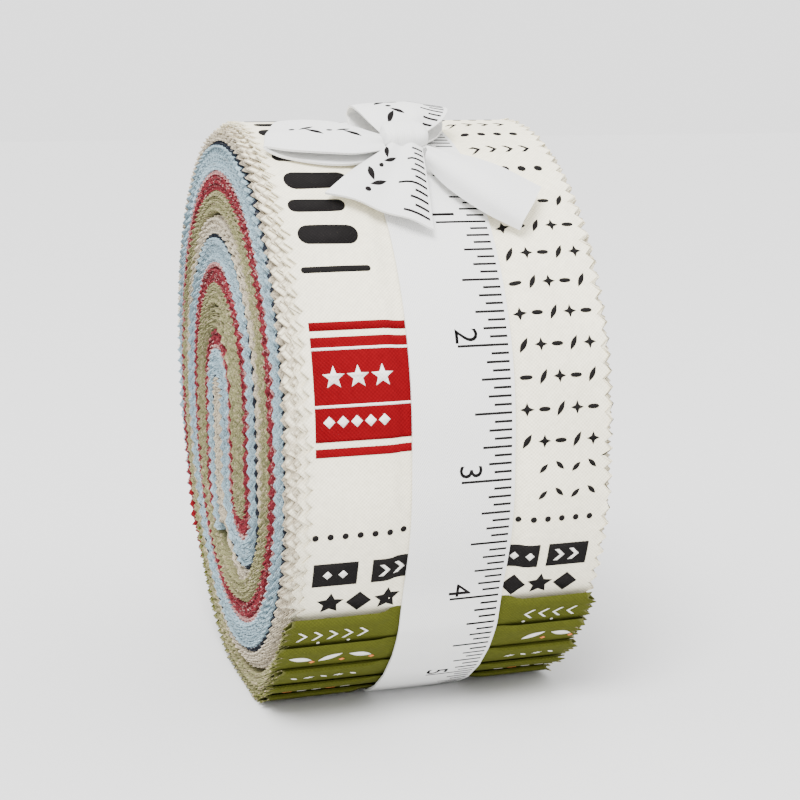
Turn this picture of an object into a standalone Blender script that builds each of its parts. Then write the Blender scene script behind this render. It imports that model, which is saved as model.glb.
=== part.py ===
"""A roll of precut fabric strips, tied round its middle with a tape and a bow.

Metres, +Z up. The roll lies along X on its round side, pressed a little flat, and the origin is on
that flat spot, under the centre of its weight. The near end with the spiral faces -X, and the
front, where the strips end, faces -Y.
"""

import math

import bmesh
import bpy
from mathutils import Vector
from mathutils.geometry import convex_hull_2d, interpolate_bezier

MM = 0.001

# The strips and the way they are wound
STRIP_WIDTH = 63.5 * MM
TURN = 19.05 * MM  # the thickness of all forty folded strips together
SLIT = 0.6 * MM  # between one turn and the next
ROLL_CENTRE = 57.7 * MM  # above the floor, a little under the radius, for the flat spot
ROLL_BACK = 2.4 * MM  # how far the roll's centre lies behind the origin
CORE_TOP = 1.85 * MM  # the height of the arcs' centres above the roll's centre
CORE_BOTTOM = -15.2 * MM
LOWER_ARCS = -5.6 * MM
ARC_STEP = 6  # degrees
LAST_ARC_STEP = 3  # degrees, finer, for the flat spot
LEG_STEP = 5 * MM

# The outer end, where the strips run out one after another
OUTER_FADE_START = 150  # degrees round the last upper arc
TAN_THICKNESS = 3.8 * MM
LAST_THICKNESS = 5.6 * MM  # the strips that go round the bottom
MIDDLE_FADE = 44  # degrees of the last lower arc over which the middle colours run out
STEP_COUNT = 5
STEP_ANGLE = 9.0  # degrees from one strip's end to the next
STEP_EDGE = 0.4  # half the angle over which a strip's end drops
LAST_END = 321  # degrees round the last lower arc
INNER_END = 209  # degrees round the core's lower arc, where the winding starts

# The spiral faces
RIDGE = 0.45 * MM  # how far a colour group stands out of the face
RIDGE_PLACES = (0.0, 0.14, 0.3, 0.42, 0.58, 0.7, 0.84, 1.0)  # from the stack's inner side out
UNEVEN = 0.25 * MM
UNEVEN_WAVES = (0.9, 0.23)  # radians from one station to the next
THINNEST = 0.6 * MM  # what the tie's groove leaves of the last strips
CORE_PUSH = 1.6 * MM  # the core is pushed out at the near end
EDGE_ROUND = 0.8 * MM
LEAST_STACK = 1.0 * MM  # what is left of the stack at its very start

# The tie and its bow
TAPE_WIDTH = 21.0 * MM
TAPE_THICKNESS = 1.0 * MM
TAPE_X = 1.7 * MM  # the tie lies a little right of the middle
TIE_PRESS = 1.35 * MM  # how deep the tie presses into the roll
TIE_GAP = 0.5 * MM
GROOVE_SHOULDER = 2.2 * MM
BAND_STEPS = 120
STRIP_ENDS_AT = -54  # degrees round the roll, where the tie lies on the strips' ends
LOOSE_UNTIL = 12  # degrees either side of there in which the tie doesn't press in
PRESS_FADE = 14  # degrees over which it then starts to
CROWN_RADIUS = 3 * TURN - SLIT / 2
CROWN_CENTRE = ROLL_CENTRE + CORE_TOP

# The knot's centre as (mm along the roll, degrees round it, mm above it), and its size
KNOT_PLACE = (2.6, 68.5, 5.2)
KNOT_SIZE = (12.5 * MM, 11.5 * MM, 9.5 * MM)

# Rows along the bow's tapes, one for each bend or fold. The columns are the tape's left edge,
# middle and right edge, each as (mm along the roll, degrees round it, mm above it)
LOOP_LEFT = [
    [(-5.0, 63.0, 2.6), (-4.8, 68.0, 4.2), (-4.6, 73.0, 3.2)],
    [(-11.0, 62.0, 3.4), (-11.0, 70.0, 4.6), (-10.0, 78.5, 3.8)],
    [(-19.5, 64.5, 3.2), (-18.0, 74.0, 3.8), (-15.5, 84.5, 3.3)],
    [(-26.0, 68.5, 2.9), (-22.5, 79.0, 3.2), (-18.5, 89.0, 2.8)],
    [(-28.0, 69.6, 1.9), (-24.6, 80.0, 1.9), (-20.4, 90.0, 1.9)],
    [(-26.0, 68.3, 1.0), (-22.5, 78.6, 1.0), (-18.5, 88.6, 1.0)],
    [(-19.5, 64.0, 1.0), (-18.0, 73.6, 1.0), (-15.5, 83.5, 1.0)],
    [(-11.0, 61.6, 1.0), (-11.0, 69.6, 1.2), (-10.0, 77.5, 1.0)],
    [(-5.0, 64.0, 1.0), (-4.8, 68.0, 1.2), (-4.6, 72.0, 1.0)],
]
LOOP_BACK = [
    [(-3.0, 76.0, 8.4), (2.6, 75.6, 9.4), (8.0, 76.0, 8.4)],
    [(-6.0, 81.0, 10.0), (3.0, 80.6, 11.2), (12.0, 81.0, 10.2)],
    [(-7.5, 88.0, 9.8), (3.0, 88.0, 11.0), (13.5, 88.0, 10.0)],
    [(-7.0, 95.0, 7.8), (3.0, 95.6, 9.0), (13.5, 95.4, 8.2)],
    [(-6.5, 99.0, 5.0), (3.2, 99.8, 5.2), (13.2, 99.4, 5.0)],
    [(-6.5, 96.0, 1.6), (3.2, 96.4, 1.6), (12.2, 96.0, 1.6)],
    [(-6.5, 90.0, 0.5), (3.0, 90.0, 0.5), (12.0, 90.0, 0.5)],
    [(-5.5, 83.0, 0.5), (3.0, 83.0, 0.5), (11.6, 83.0, 0.5)],
    [(-2.0, 76.5, 0.9), (2.6, 76.5, 0.9), (7.5, 76.5, 0.9)],
]
TAIL_LEFT = [
    [(-1.5, 60.8, 2.6), (1.8, 60.6, 4.0), (5.0, 60.8, 2.6)],
    [(-6.5, 58.0, 1.6), (0.2, 56.0, 3.4), (6.3, 56.0, 2.2)],
    [(-13.0, 55.0, 1.4), (-2.4, 50.4, 3.0), (6.4, 49.6, 1.8)],
    [(-20.0, 52.4, 1.6), (-7.0, 46.2, 2.4), (5.6, 41.4, 1.6)],
]
TAIL_RIGHT = [
    [(9.8, 64.6, 2.0), (9.8, 67.2, 4.4), (9.8, 69.8, 2.6)],
    [(13.5, 58.8, 2.2), (14.5, 64.5, 6.6), (14.0, 69.4, 4.6)],
    [(18.5, 51.4, 2.4), (20.0, 58.0, 6.8), (22.0, 64.6, 4.4)],
    [(21.5, 43.6, 2.2), (26.0, 51.0, 5.0), (30.0, 58.6, 3.2)],
]

TAPE_STEPS = 3  # rows of faces from one row of the tables to the next
QUARTER_BULGE = 1 / 16  # how far the quarter points follow the middle point's bend
SHARP_EDGE = 50  # degrees

STRIP_COLOUR = (0.80, 0.77, 0.66, 1)
TAPE_COLOUR = (0.85, 0.85, 0.84, 1)


def clear_scene():
    for item in list(bpy.data.objects):
        bpy.data.objects.remove(item, do_unlink=True)


def make_material(name, colour, roughness):
    material = bpy.data.materials.new(name)
    material.use_nodes = True
    shader = material.node_tree.nodes["Principled BSDF"]
    shader.inputs["Base Color"].default_value = colour
    shader.inputs["Roughness"].default_value = roughness
    shader.inputs["Metallic"].default_value = 0.0
    return material


def make_object(name, mesh_data, material, collection):
    mesh = bpy.data.meshes.new(name)
    mesh_data.to_mesh(mesh)
    mesh_data.free()
    mesh.materials.append(material)
    mesh.shade_smooth()
    mesh.set_sharp_from_angle(angle=math.radians(SHARP_EDGE))
    item = bpy.data.objects.new(name, mesh)
    collection.objects.link(item)
    return item


def station_on_arc(centre, radius, degrees, turn=1):
    """A station of the winding: its place, its direction of travel and its angle."""
    a = math.radians(degrees)
    place = Vector(centre) + Vector((math.cos(a), math.sin(a))) * radius
    return place, Vector((-math.sin(a), math.cos(a))) * turn, degrees


def arc(centre, radius, start, end, step=ARC_STEP):
    """Stations round an arc, up to but not with its end."""
    count = max(3, math.ceil(abs(end - start) / step))
    turn = 1 if end > start else -1
    steps = [start + (end - start) * i / count for i in range(count)]
    return [station_on_arc(centre, radius, degrees, turn) for degrees in steps]


def leg(u, start, end):
    """Stations up or down a straight stretch, up to but not with its end."""
    count = max(1, round(abs(end - start) / LEG_STEP))
    way = Vector((0, 1 if end > start else -1))
    return [(Vector((u, start + (end - start) * i / count)), way, None) for i in range(count)]


def strip_ends():
    """The angles round the last lower arc at which the last strips end."""
    return [LAST_END - STEP_ANGLE * k for k in reversed(range(STEP_COUNT))]


def last_arc(centre, radius):
    """Stations of the last lower arc, with two close together where each strip ends."""
    ends = strip_ends()
    stations = arc(centre, radius, 180, ends[0] - STEP_EDGE, LAST_ARC_STEP)
    for degrees in ends[:-1]:
        stations.append(station_on_arc(centre, radius, degrees - STEP_EDGE))
        stations.append(station_on_arc(centre, radius, degrees + STEP_EDGE))
    stations.append(station_on_arc(centre, radius, LAST_END - STEP_EDGE))
    return stations


def winding():
    """The middle line of the wound stack, from the core outward, seen from the near end.

    u runs to the front and v up. Each station is (place, direction, angle, stretch name).
    """
    upper, lower, core = (0, CORE_TOP), (TURN / 2, LOWER_ARCS), (TURN, CORE_BOTTOM)
    stretches = [
        ("inner_end", arc(core, 1.5 * TURN, INNER_END, 180)),
        ("core_leg", leg(-TURN / 2, CORE_BOTTOM, CORE_TOP)),
        ("core_top", arc(upper, TURN / 2, 180, 0)),
        ("core_leg", leg(TURN / 2, CORE_TOP, CORE_BOTTOM)),
        ("core_bottom", arc(core, TURN / 2, -180, 0)),
        ("turn", leg(1.5 * TURN, CORE_BOTTOM, CORE_TOP)),
        ("turn", arc(upper, 1.5 * TURN, 0, 180)),
        ("turn", leg(-1.5 * TURN, CORE_TOP, LOWER_ARCS)),
        ("turn", arc(lower, 2 * TURN, 180, 360)),
        ("turn", leg(2.5 * TURN, LOWER_ARCS, CORE_TOP)),
        ("last_top", arc(upper, 2.5 * TURN, 0, 180)),
        ("last_leg", leg(-2.5 * TURN, CORE_TOP, LOWER_ARCS)),
        ("last_bottom", last_arc(lower, 3 * TURN)),
    ]
    return [(*station, name) for name, part in stretches for station in part]


def inner_end_reach(place, away):
    """How far the stack's inner end reaches before it meets the turn around it."""
    centre = Vector((TURN / 2, LOWER_ARCS))
    radius = 1.5 * TURN - SLIT
    rel = place - centre
    b = rel.dot(away)
    inside = b * b - rel.length_squared + radius * radius
    return -b + math.sqrt(max(inside, 0))


def smooth_step(x):
    x = min(max(x, 0), 1)
    return x * x * (3 - 2 * x)


def layers_left(name, degrees):
    """The stack's thickness at a station of its last turn, as the outer strips run out."""
    full = TURN - SLIT
    if name == "last_top":
        run = (degrees - OUTER_FADE_START) / (180 - OUTER_FADE_START)
        return full - TAN_THICKNESS * smooth_step(run)
    if name == "last_leg":
        return full - TAN_THICKNESS
    if name == "last_bottom":
        fade = smooth_step((degrees - 180) / MIDDLE_FADE)
        thickness = full - TAN_THICKNESS
        thickness += (LAST_THICKNESS - thickness) * fade
        strips = sum(end > degrees for end in strip_ends())
        return thickness if strips == STEP_COUNT else LAST_THICKNESS * strips / STEP_COUNT
    return full


def section_sides(station):
    """The inner and outer edge of the stack at a station, and the way from one to the other."""
    place, way, degrees, name = station
    outward = Vector((way.y, -way.x))
    half = (TURN - SLIT) / 2
    inner = place - outward * half
    if name == "inner_end":
        reach = max(min(half, inner_end_reach(place, -outward)), LEAST_STACK - half)
        inner = place - outward * reach
        return inner, place + outward * half, outward
    return inner, inner + outward * layers_left(name, degrees), outward


def polar(point):
    return math.atan2(point.y, point.x), point.length


class TautLoop:
    """The path of something pulled tight round the roll: a radius for each angle."""

    def __init__(self, points):
        corners = [points[i] for i in convex_hull_2d([tuple(p) for p in points])]
        self.corners = sorted((polar(p) for p in corners), key=lambda c: c[0])

    def radius(self, angle):
        angle = (angle + math.pi) % (2 * math.pi) - math.pi
        ring = self.corners
        for i, (end, far) in enumerate(ring):
            start, near = ring[i - 1]
            if i == 0:
                start -= 2 * math.pi
                if angle > ring[-1][0]:
                    angle -= 2 * math.pi
            if start <= angle <= end:
                a = Vector((math.cos(start), math.sin(start))) * near
                b = Vector((math.cos(end), math.sin(end))) * far
                ray = Vector((math.cos(angle), math.sin(angle)))
                edge = b - a
                return (a.x * edge.y - a.y * edge.x) / (ray.x * edge.y - ray.y * edge.x)
        return self.corners[0][1]


def tie_press(angle):
    """How far the tie sinks in: fully below and above, and hardly over the strips' ends."""
    off = abs((math.degrees(angle) - STRIP_ENDS_AT + 180) % 360 - 180)
    return TIE_PRESS * smooth_step((off - LOOSE_UNTIL) / PRESS_FADE)


def to_world(x, point, lowest=0):
    """A place in the part, from one seen from the near end; the floor presses the roll flat."""
    return Vector((x, ROLL_BACK - point.x, max(point.y + ROLL_CENTRE, lowest)))


def face_push(point, along):
    """How far a spiral face stands out of its plane: the pushed core and uneven winding.

    Along is the station's number.
    """
    share = max(0.0, 1 - (point.length / (3 * TURN)) ** 2)
    quick, slow = UNEVEN_WAVES
    return CORE_PUSH * share + UNEVEN * math.sin(along * quick) * math.sin(along * slow + 1)


def roll_section(station, number, taut):
    """The closed outline of the wound stack at a station, in world coordinates."""
    inner, outer, outward = section_sides(station)
    thickness = (outer - inner).dot(outward)
    half = STRIP_WIDTH / 2
    angle, far = polar(outer)
    floor = taut.radius(angle) - tie_press(angle) - TIE_GAP
    depth = min(max(far - floor, 0), max(thickness - THINNEST, 0))
    groove = TAPE_WIDTH / 2 + TIE_GAP
    shelf = groove + GROOVE_SHOULDER
    points = []
    for side in (-1, 1):
        face = []
        for i, share in enumerate(RIDGE_PLACES):
            out = -EDGE_ROUND if i in (0, len(RIDGE_PLACES) - 1) else RIDGE * (1 if i % 2 else 0)
            place = inner + outward * thickness * share
            x = side * (half + out) - face_push(place, number)
            face.append(to_world(x, place))
        if side < 0:
            points += face
            for x in (-shelf, -groove, groove, shelf):
                in_groove = abs(x) == groove
                place = outer - outward * (depth if in_groove else 0)
                lowest = TAPE_THICKNESS + TIE_GAP if in_groove else 0
                points.append(to_world(x + TAPE_X, place, lowest))
        else:
            points += face[::-1]
    return points


def make_roll(material, collection, taut):
    """The wound strips, as one solid."""
    mesh = bmesh.new()
    rings = []
    for number, station in enumerate(winding()):
        rings.append([mesh.verts.new(p) for p in roll_section(station, number, taut)])
    for before, after in zip(rings, rings[1:]):
        count = len(before)
        for i in range(count):
            j = (i + 1) % count
            mesh.faces.new((before[i], before[j], after[j], after[i]))
    mesh.faces.new(rings[0][::-1])
    mesh.faces.new(rings[-1])
    bmesh.ops.triangulate(mesh, faces=mesh.faces[:])
    bmesh.ops.recalc_face_normals(mesh, faces=mesh.faces[:])
    return make_object("roll", mesh, material, collection)


def make_band(material, collection, taut):
    """The tie round the roll, as one closed loop of tape."""
    mesh = bmesh.new()
    rings = []
    for i in range(BAND_STEPS):
        angle = 2 * math.pi * i / BAND_STEPS
        ray = Vector((math.cos(angle), math.sin(angle)))
        inside = taut.radius(angle) - tie_press(angle)
        ring = []
        for x, height in ((-0.5, 0), (0.5, 0), (0.5, 1), (-0.5, 1)):
            place = ray * (inside + height * TAPE_THICKNESS)
            lowest = TAPE_THICKNESS * (1 - height)
            ring.append(mesh.verts.new(to_world(TAPE_X + x * TAPE_WIDTH, place, lowest)))
        rings.append(ring)
    for i, ring in enumerate(rings):
        after = rings[(i + 1) % BAND_STEPS]
        for k in range(4):
            m = (k + 1) % 4
            mesh.faces.new((ring[k], ring[m], after[m], after[k]))
    bmesh.ops.triangulate(mesh, faces=mesh.faces[:])
    bmesh.ops.recalc_face_normals(mesh, faces=mesh.faces[:])
    return make_object("ribbon_band", mesh, material, collection)


def on_crown(x, degrees, height):
    """A place over the roll's upper half: along it, round it from the front, and above it."""
    a = math.radians(degrees)
    far = CROWN_RADIUS + height * MM
    return Vector((x * MM, ROLL_BACK - far * math.cos(a), CROWN_CENTRE + far * math.sin(a)))


def smooth_rows(rows, steps):
    """Rows of points again, with more of them on smooth curves through them."""
    columns = []
    for line in zip(*rows):
        slopes = []
        for i, point in enumerate(line):
            before, after = line[max(i - 1, 0)], line[min(i + 1, len(line) - 1)]
            slopes.append((after - before) / 6)
        column = []
        for i in range(len(line) - 1):
            piece = interpolate_bezier(
                line[i], line[i] + slopes[i], line[i + 1] - slopes[i + 1], line[i + 1], steps + 1
            )
            column += piece[:-1]
        column.append(line[-1])
        columns.append(column)
    return list(zip(*columns))


def make_tape_piece(name, rows, material, collection):
    """A stretch of tape. A row: left edge, middle and right edge as (x, degrees, height)."""
    placed = []
    for left, middle, right in rows:
        edges = [on_crown(*left), on_crown(*middle), on_crown(*right)]
        bulge = (edges[1] * 2 - edges[0] - edges[2]) * QUARTER_BULGE
        quarter = (edges[0] + edges[1]) / 2 + bulge
        other = (edges[1] + edges[2]) / 2 + bulge
        placed.append([edges[0], quarter, edges[1], other, edges[2]])
    grid = smooth_rows(placed, TAPE_STEPS)
    mesh = bmesh.new()
    verts = [[mesh.verts.new(p) for p in row] for row in grid]
    for row, after in zip(verts, verts[1:]):
        for i in range(len(row) - 1):
            mesh.faces.new((row[i], row[i + 1], after[i + 1], after[i]))
    item = make_object(name, mesh, material, collection)
    solid = item.modifiers.new("thickness", "SOLIDIFY")
    solid.thickness = TAPE_THICKNESS
    solid.offset = 0
    solid.use_even_offset = False
    return item


def make_knot(material, collection):
    """The wrap of tape in the middle of the bow: a soft, slightly flattened bead."""
    mesh = bmesh.new()
    bmesh.ops.create_cube(mesh, size=1)
    bmesh.ops.subdivide_edges(mesh, edges=mesh.edges[:], cuts=2, use_grid_fill=True)
    item = make_object("knot", mesh, material, collection)
    centre = on_crown(*KNOT_PLACE)
    tilt = math.radians(KNOT_PLACE[1] - 90)
    for vert in item.data.vertices:
        sized = Vector((vert.co.x * KNOT_SIZE[0], vert.co.y * KNOT_SIZE[1], vert.co.z * KNOT_SIZE[2]))
        y = sized.y * math.cos(tilt) + sized.z * math.sin(tilt)
        z = -sized.y * math.sin(tilt) + sized.z * math.cos(tilt)
        vert.co = Vector((sized.x, y, z))
    item.location = centre
    soft = item.modifiers.new("soft", "SUBSURF")
    soft.levels = 1
    soft.render_levels = 1
    return item


def main():
    clear_scene()
    strips = make_material("strips", STRIP_COLOUR, 0.95)
    tape = make_material("tape", TAPE_COLOUR, 0.85)
    collection = bpy.data.collections.new("fabric_strip_roll")
    bpy.context.scene.collection.children.link(collection)
    taut = TautLoop([section_sides(station)[1] for station in winding()])
    make_roll(strips, collection, taut)
    make_band(tape, collection, taut)
    make_knot(tape, collection)
    make_tape_piece("loop_left", LOOP_LEFT, tape, collection)
    make_tape_piece("loop_back", LOOP_BACK, tape, collection)
    make_tape_piece("tail_left", TAIL_LEFT, tape, collection)
    make_tape_piece("tail_right", TAIL_RIGHT, tape, collection)


main()
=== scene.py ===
"""The looks of a roll of precut fabric strips, tied with a printed tape and a bow.

Forty folded strips are wound together from a folded core outward. Every layer is a thin sheet of
its own, with pinked edges, so that the round faces, the stepped outer end and the print show as
they do on the real roll. Lengths in the tables are millimetres, and all else is metres.
"""

import math

import bmesh
import bpy
import numpy as np
from mathutils.geometry import convex_hull_2d
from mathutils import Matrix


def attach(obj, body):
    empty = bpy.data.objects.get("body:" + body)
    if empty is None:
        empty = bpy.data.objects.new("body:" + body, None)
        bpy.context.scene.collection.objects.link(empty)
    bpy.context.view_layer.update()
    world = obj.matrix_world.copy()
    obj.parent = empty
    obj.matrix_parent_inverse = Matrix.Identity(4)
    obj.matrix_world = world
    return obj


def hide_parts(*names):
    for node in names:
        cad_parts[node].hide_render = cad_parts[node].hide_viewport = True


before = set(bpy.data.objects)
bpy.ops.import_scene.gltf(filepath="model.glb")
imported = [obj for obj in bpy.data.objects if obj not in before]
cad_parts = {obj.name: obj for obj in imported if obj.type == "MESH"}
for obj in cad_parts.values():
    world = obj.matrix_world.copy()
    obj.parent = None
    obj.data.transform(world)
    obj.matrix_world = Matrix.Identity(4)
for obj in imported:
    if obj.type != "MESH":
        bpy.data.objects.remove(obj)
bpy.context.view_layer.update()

bl_info = {
    "name": "Tied roll of fabric strips",
    "version": (1, 0, 0),
    "blender": (4, 5, 0),
    "location": "View3D > Sidebar > Strip Roll",
    "description": "Builds a tied roll of precut cotton strips around its packed frame",
    "category": "Object",
}

MM = 0.001
BODY = "root"

# The stack from its inner side out: name, strips, edge colour, face colour, speck colour, specks
STACK = [
    ("green", 10, (0.23, 0.22, 0.11), (0.066, 0.072, 0.009), (0.40, 0.33, 0.22), 0.30),
    ("red", 7, (0.17, 0.022, 0.030), (0.20, 0.008, 0.012), (0.40, 0.24, 0.22), 0.24),
    ("pink", 2, (0.40, 0.19, 0.18), (0.42, 0.20, 0.19), (0.55, 0.42, 0.38), 0.26),
    ("blue", 11, (0.27, 0.37, 0.42), (0.28, 0.40, 0.46), (0.20, 0.23, 0.24), 0.22),
    ("dark", 2, (0.022, 0.026, 0.036), (0.03, 0.033, 0.045), (0.24, 0.24, 0.24), 0.12),
    ("cream", 8, (0.46, 0.40, 0.30), (0.93, 0.87, 0.68), (0.10, 0.09, 0.09), 0.18),
]
STRIP_COUNT = sum(row[1] for row in STACK)
GREEN_COUNT = STACK[0][1]
FIRST_CREAM = STRIP_COUNT - STACK[-1][1]
DARK_STRIPS = range(FIRST_CREAM - STACK[-2][1], FIRST_CREAM)

# How the stack is wound, as in the frame: u to the front, v up, from the roll's centre
TURN = 19.05 * MM  # thickness of one turn of the stack
SLIT = 0.6 * MM  # the gap between two turns
ROLL_CENTRE = 57.7 * MM
ROLL_BACK = 2.4 * MM
CORE_TOP = 1.85 * MM  # the height of the upper arcs' centre
CORE_BOTTOM = -15.2 * MM  # and of the core's bend
LOWER_ARCS = -5.6 * MM  # and of the lower arcs
INNER_END = 209  # the degrees at which the stack begins, inside the core
LAST_END = 321  # and at which its lowest step ends, outside
CLOTH_REACH = 5.5  # how many degrees the cloth's own ends reach past the frame's
STEP_ANGLE = 9.0  # from one step of the outer end to the next, in degrees
STRIPS_PER_STEP = 2
GREEN_STEPS = GREEN_COUNT // STRIPS_PER_STEP
TUCKED_ANGLE = 4.0  # how far short of the upper strip of a pair the lower one ends
FADE_START = 150  # where on the top arc the first cream strip ends, in degrees
CREAM_END = 178  # and the last one
MIDDLE_FADE = 44  # how many degrees the other colours take to end, behind and below
CREAM_THICKNESS = 3.8 * MM  # what the cream strips' ends take off the stack
GREEN_THICKNESS = 5.6 * MM  # what is left of it round the bottom
LOOSE_PITCH = 0.275 * MM  # spacing of the layers where only the green strips are left
CORE_PUSH = 1.6 * MM  # how far the core stands out of the near round face
HALF_STACK = (TURN - SLIT) / 2
PATH_STEP = 0.35 * MM
HULL_POINTS = 24  # points on each straight stretch of the taut loop

# The tie's path and the floor
TIE_PRESS = 1.35 * MM
STRIP_ENDS_AT = -54  # the degrees of the stepped end, where the tie doesn't press
PRESS_FREE = 12  # degrees to each side of that place without press
PRESS_FADE = 14  # degrees over which the press grows
TIE_TOP = 1.0 * MM  # how far the tie's outer side stands above its pressed path
TIE_CROWN = 0.12 * MM
UNDER_TIE = 0.42 * MM  # how far above that path the cloth may reach
UNDER_TIE_FLOOR = 0.62 * MM  # and how far it stays above the floor
CROWN_RADIUS = 3 * TURN - SLIT / 2
CROWN_CENTRE = ROLL_CENTRE + CORE_TOP
TAPE_X = 1.7 * MM
BOTTOM_RADIUS = 2.5 * TURN + GREEN_THICKNESS + SLIT / 2
LAYERS_PRESSED = 7 * MM  # how deep the floor's press reaches into the roll
FLOOR_CLEARANCE = 0.14 * MM
TIE_CLEARANCE = 0.02 * MM


class StripSizes(bpy.types.PropertyGroup):
    width: bpy.props.FloatProperty(
        name="Strip width", description="Width of a strip from tip to tip",
        default=63.5 * MM, unit="LENGTH")
    cloth: bpy.props.FloatProperty(
        name="Cloth thickness", description="Thickness of one layer of cotton",
        default=0.2 * MM, unit="LENGTH")
    tooth_pitch: bpy.props.FloatProperty(
        name="Tooth pitch", description="Length of one tooth of the pinked edge",
        default=2.6 * MM, unit="LENGTH")
    tooth_depth: bpy.props.FloatProperty(
        name="Tooth depth", description="Depth of the pinked edge's teeth",
        default=1.7 * MM, unit="LENGTH")


class TapeSizes(bpy.types.PropertyGroup):
    width: bpy.props.FloatProperty(
        name="Tape width", description="Width of the tie's tape",
        default=20.2 * MM, unit="LENGTH")
    thickness: bpy.props.FloatProperty(
        name="Tape thickness", description="Thickness of the tie's tape",
        default=0.45 * MM, unit="LENGTH")
    colour: bpy.props.FloatVectorProperty(
        name="Tape colour", description="Colour of the cotton tape",
        default=(0.76, 0.76, 0.75), subtype="COLOR", size=3)


class PrintColours(bpy.types.PropertyGroup):
    black: bpy.props.FloatVectorProperty(
        name="Black print", description="Colour of the dark printed motifs",
        default=(0.010, 0.009, 0.009), subtype="COLOR", size=3)
    red: bpy.props.FloatVectorProperty(
        name="Red print", description="Colour of the printed banner",
        default=(0.150, 0.0010, 0.004), subtype="COLOR", size=3)
    white: bpy.props.FloatVectorProperty(
        name="White print", description="Colour of the light printed motifs",
        default=(0.84, 0.82, 0.76), subtype="COLOR", size=3)
    orange: bpy.props.FloatVectorProperty(
        name="Orange print", description="Colour of the small warm motifs",
        default=(0.72, 0.22, 0.07), subtype="COLOR", size=3)


def smooth_step(x):
    """Rises smoothly from 0 to 1 as x does."""
    x = np.clip(x, 0, 1)
    return x * x * (3 - 2 * x)


# The winding


def arc_points(centre, radius, start, end):
    """Places, outward ways and degrees along an arc of the winding."""
    count = max(4, math.ceil(abs(math.radians(end - start)) * radius / PATH_STEP))
    degrees = np.linspace(start, end, count, endpoint=False)
    a = np.radians(degrees)
    turn = 1 if end > start else -1
    place = np.stack([centre[0] + radius * np.cos(a), centre[1] + radius * np.sin(a)], 1)
    outward = np.stack([np.cos(a), np.sin(a)], 1) * turn
    return place, outward, degrees


def leg_points(u, start, end):
    """The same along an upright leg, which has no degrees."""
    count = max(2, math.ceil(abs(end - start) / PATH_STEP))
    v = np.linspace(start, end, count, endpoint=False)
    place = np.stack([np.full(count, u), v], 1)
    outward = np.tile([1.0 if end > start else -1.0, 0.0], (count, 1))
    return place, outward, np.full(count, np.nan)


class Winding:
    """The middle line of the wound stack, from the core outward."""

    def __init__(self):
        upper, lower, core = (0, CORE_TOP), (TURN / 2, LOWER_ARCS), (TURN, CORE_BOTTOM)
        stretches = [
            ("inner_end", arc_points(core, 1.5 * TURN, INNER_END, 180)),
            ("core", leg_points(-TURN / 2, CORE_BOTTOM, CORE_TOP)),
            ("core", arc_points(upper, TURN / 2, 180, 0)),
            ("core", leg_points(TURN / 2, CORE_TOP, CORE_BOTTOM)),
            ("core", arc_points(core, TURN / 2, -180, 0)),
            ("turn", leg_points(1.5 * TURN, CORE_BOTTOM, CORE_TOP)),
            ("turn", arc_points(upper, 1.5 * TURN, 0, 180)),
            ("turn", leg_points(-1.5 * TURN, CORE_TOP, LOWER_ARCS)),
            ("front", arc_points(lower, 2 * TURN, 180, 360)),
            ("front", leg_points(2.5 * TURN, LOWER_ARCS, CORE_TOP)),
            ("last_top", arc_points(upper, 2.5 * TURN, 0, 180)),
            ("last_leg", leg_points(-2.5 * TURN, CORE_TOP, LOWER_ARCS)),
            ("last_bottom", arc_points(lower, 3 * TURN, 180, LAST_END + CLOTH_REACH + 2)),
        ]
        self.place = np.concatenate([part[0] for _, part in stretches])
        self.outward = np.concatenate([part[1] for _, part in stretches])
        self.degrees = np.concatenate([part[2] for _, part in stretches])
        self.name = np.concatenate([[name] * len(part[0]) for name, part in stretches])
        steps = np.linalg.norm(np.diff(self.place, axis=0), axis=1)
        self.along = np.concatenate([[0], np.cumsum(steps)])
        self.last_start = int(np.argmax(self.name == "last_bottom"))
        fade = smooth_step((self.degrees - 180) / MIDDLE_FADE)
        tight = (TURN - SLIT) / (2 * STRIP_COUNT)
        self.pitch = np.full(len(self.along), tight)
        last = self.name == "last_bottom"
        self.pitch[last] = tight + (LOOSE_PITCH - tight) * fade[last]

    def index(self, name, degrees):
        """The station of a stretch that is nearest to an angle."""
        off = np.where(self.name == name, np.abs(self.degrees - degrees), np.inf)
        return int(np.nanargmin(off))

    def strip_end(self, strip):
        """The station at which a strip ends; strips count from the stack's inner side."""
        if strip < GREEN_COUNT:
            pair, upper = divmod(strip, STRIPS_PER_STEP)
            tucked = 0 if upper else TUCKED_ANGLE
            return self.index("last_bottom", LAST_END + CLOTH_REACH - STEP_ANGLE * pair - tucked)
        if strip < FIRST_CREAM:
            share = (strip - GREEN_COUNT) / (FIRST_CREAM - GREEN_COUNT)
            return self.index("last_bottom", 180 + MIDDLE_FADE * (1 - share) - 1)
        share = (strip - FIRST_CREAM) / (STRIP_COUNT - FIRST_CREAM)
        return self.index("last_top", CREAM_END - (CREAM_END - FADE_START) * share)

    def layer(self, number):
        """The stations and the offset outward of one layer, two to a strip."""
        end = self.strip_end(number // 2)
        offset = (number + 0.5) * self.pitch - HALF_STACK
        first = self.name == "inner_end"
        centre = np.array([TURN / 2, LOWER_ARCS])
        rel = self.place - centre
        b = -(rel * self.outward).sum(1)
        radius = 1.5 * TURN - SLIT
        reach = -b + np.sqrt(np.maximum(b * b - (rel**2).sum(1) + radius * radius, 0))
        blocked = first & (-offset > reach)
        start = int(np.max(np.nonzero(blocked)[0])) + 1 if blocked.any() else 0
        return start, end, offset


WINDING = Winding()


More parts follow.
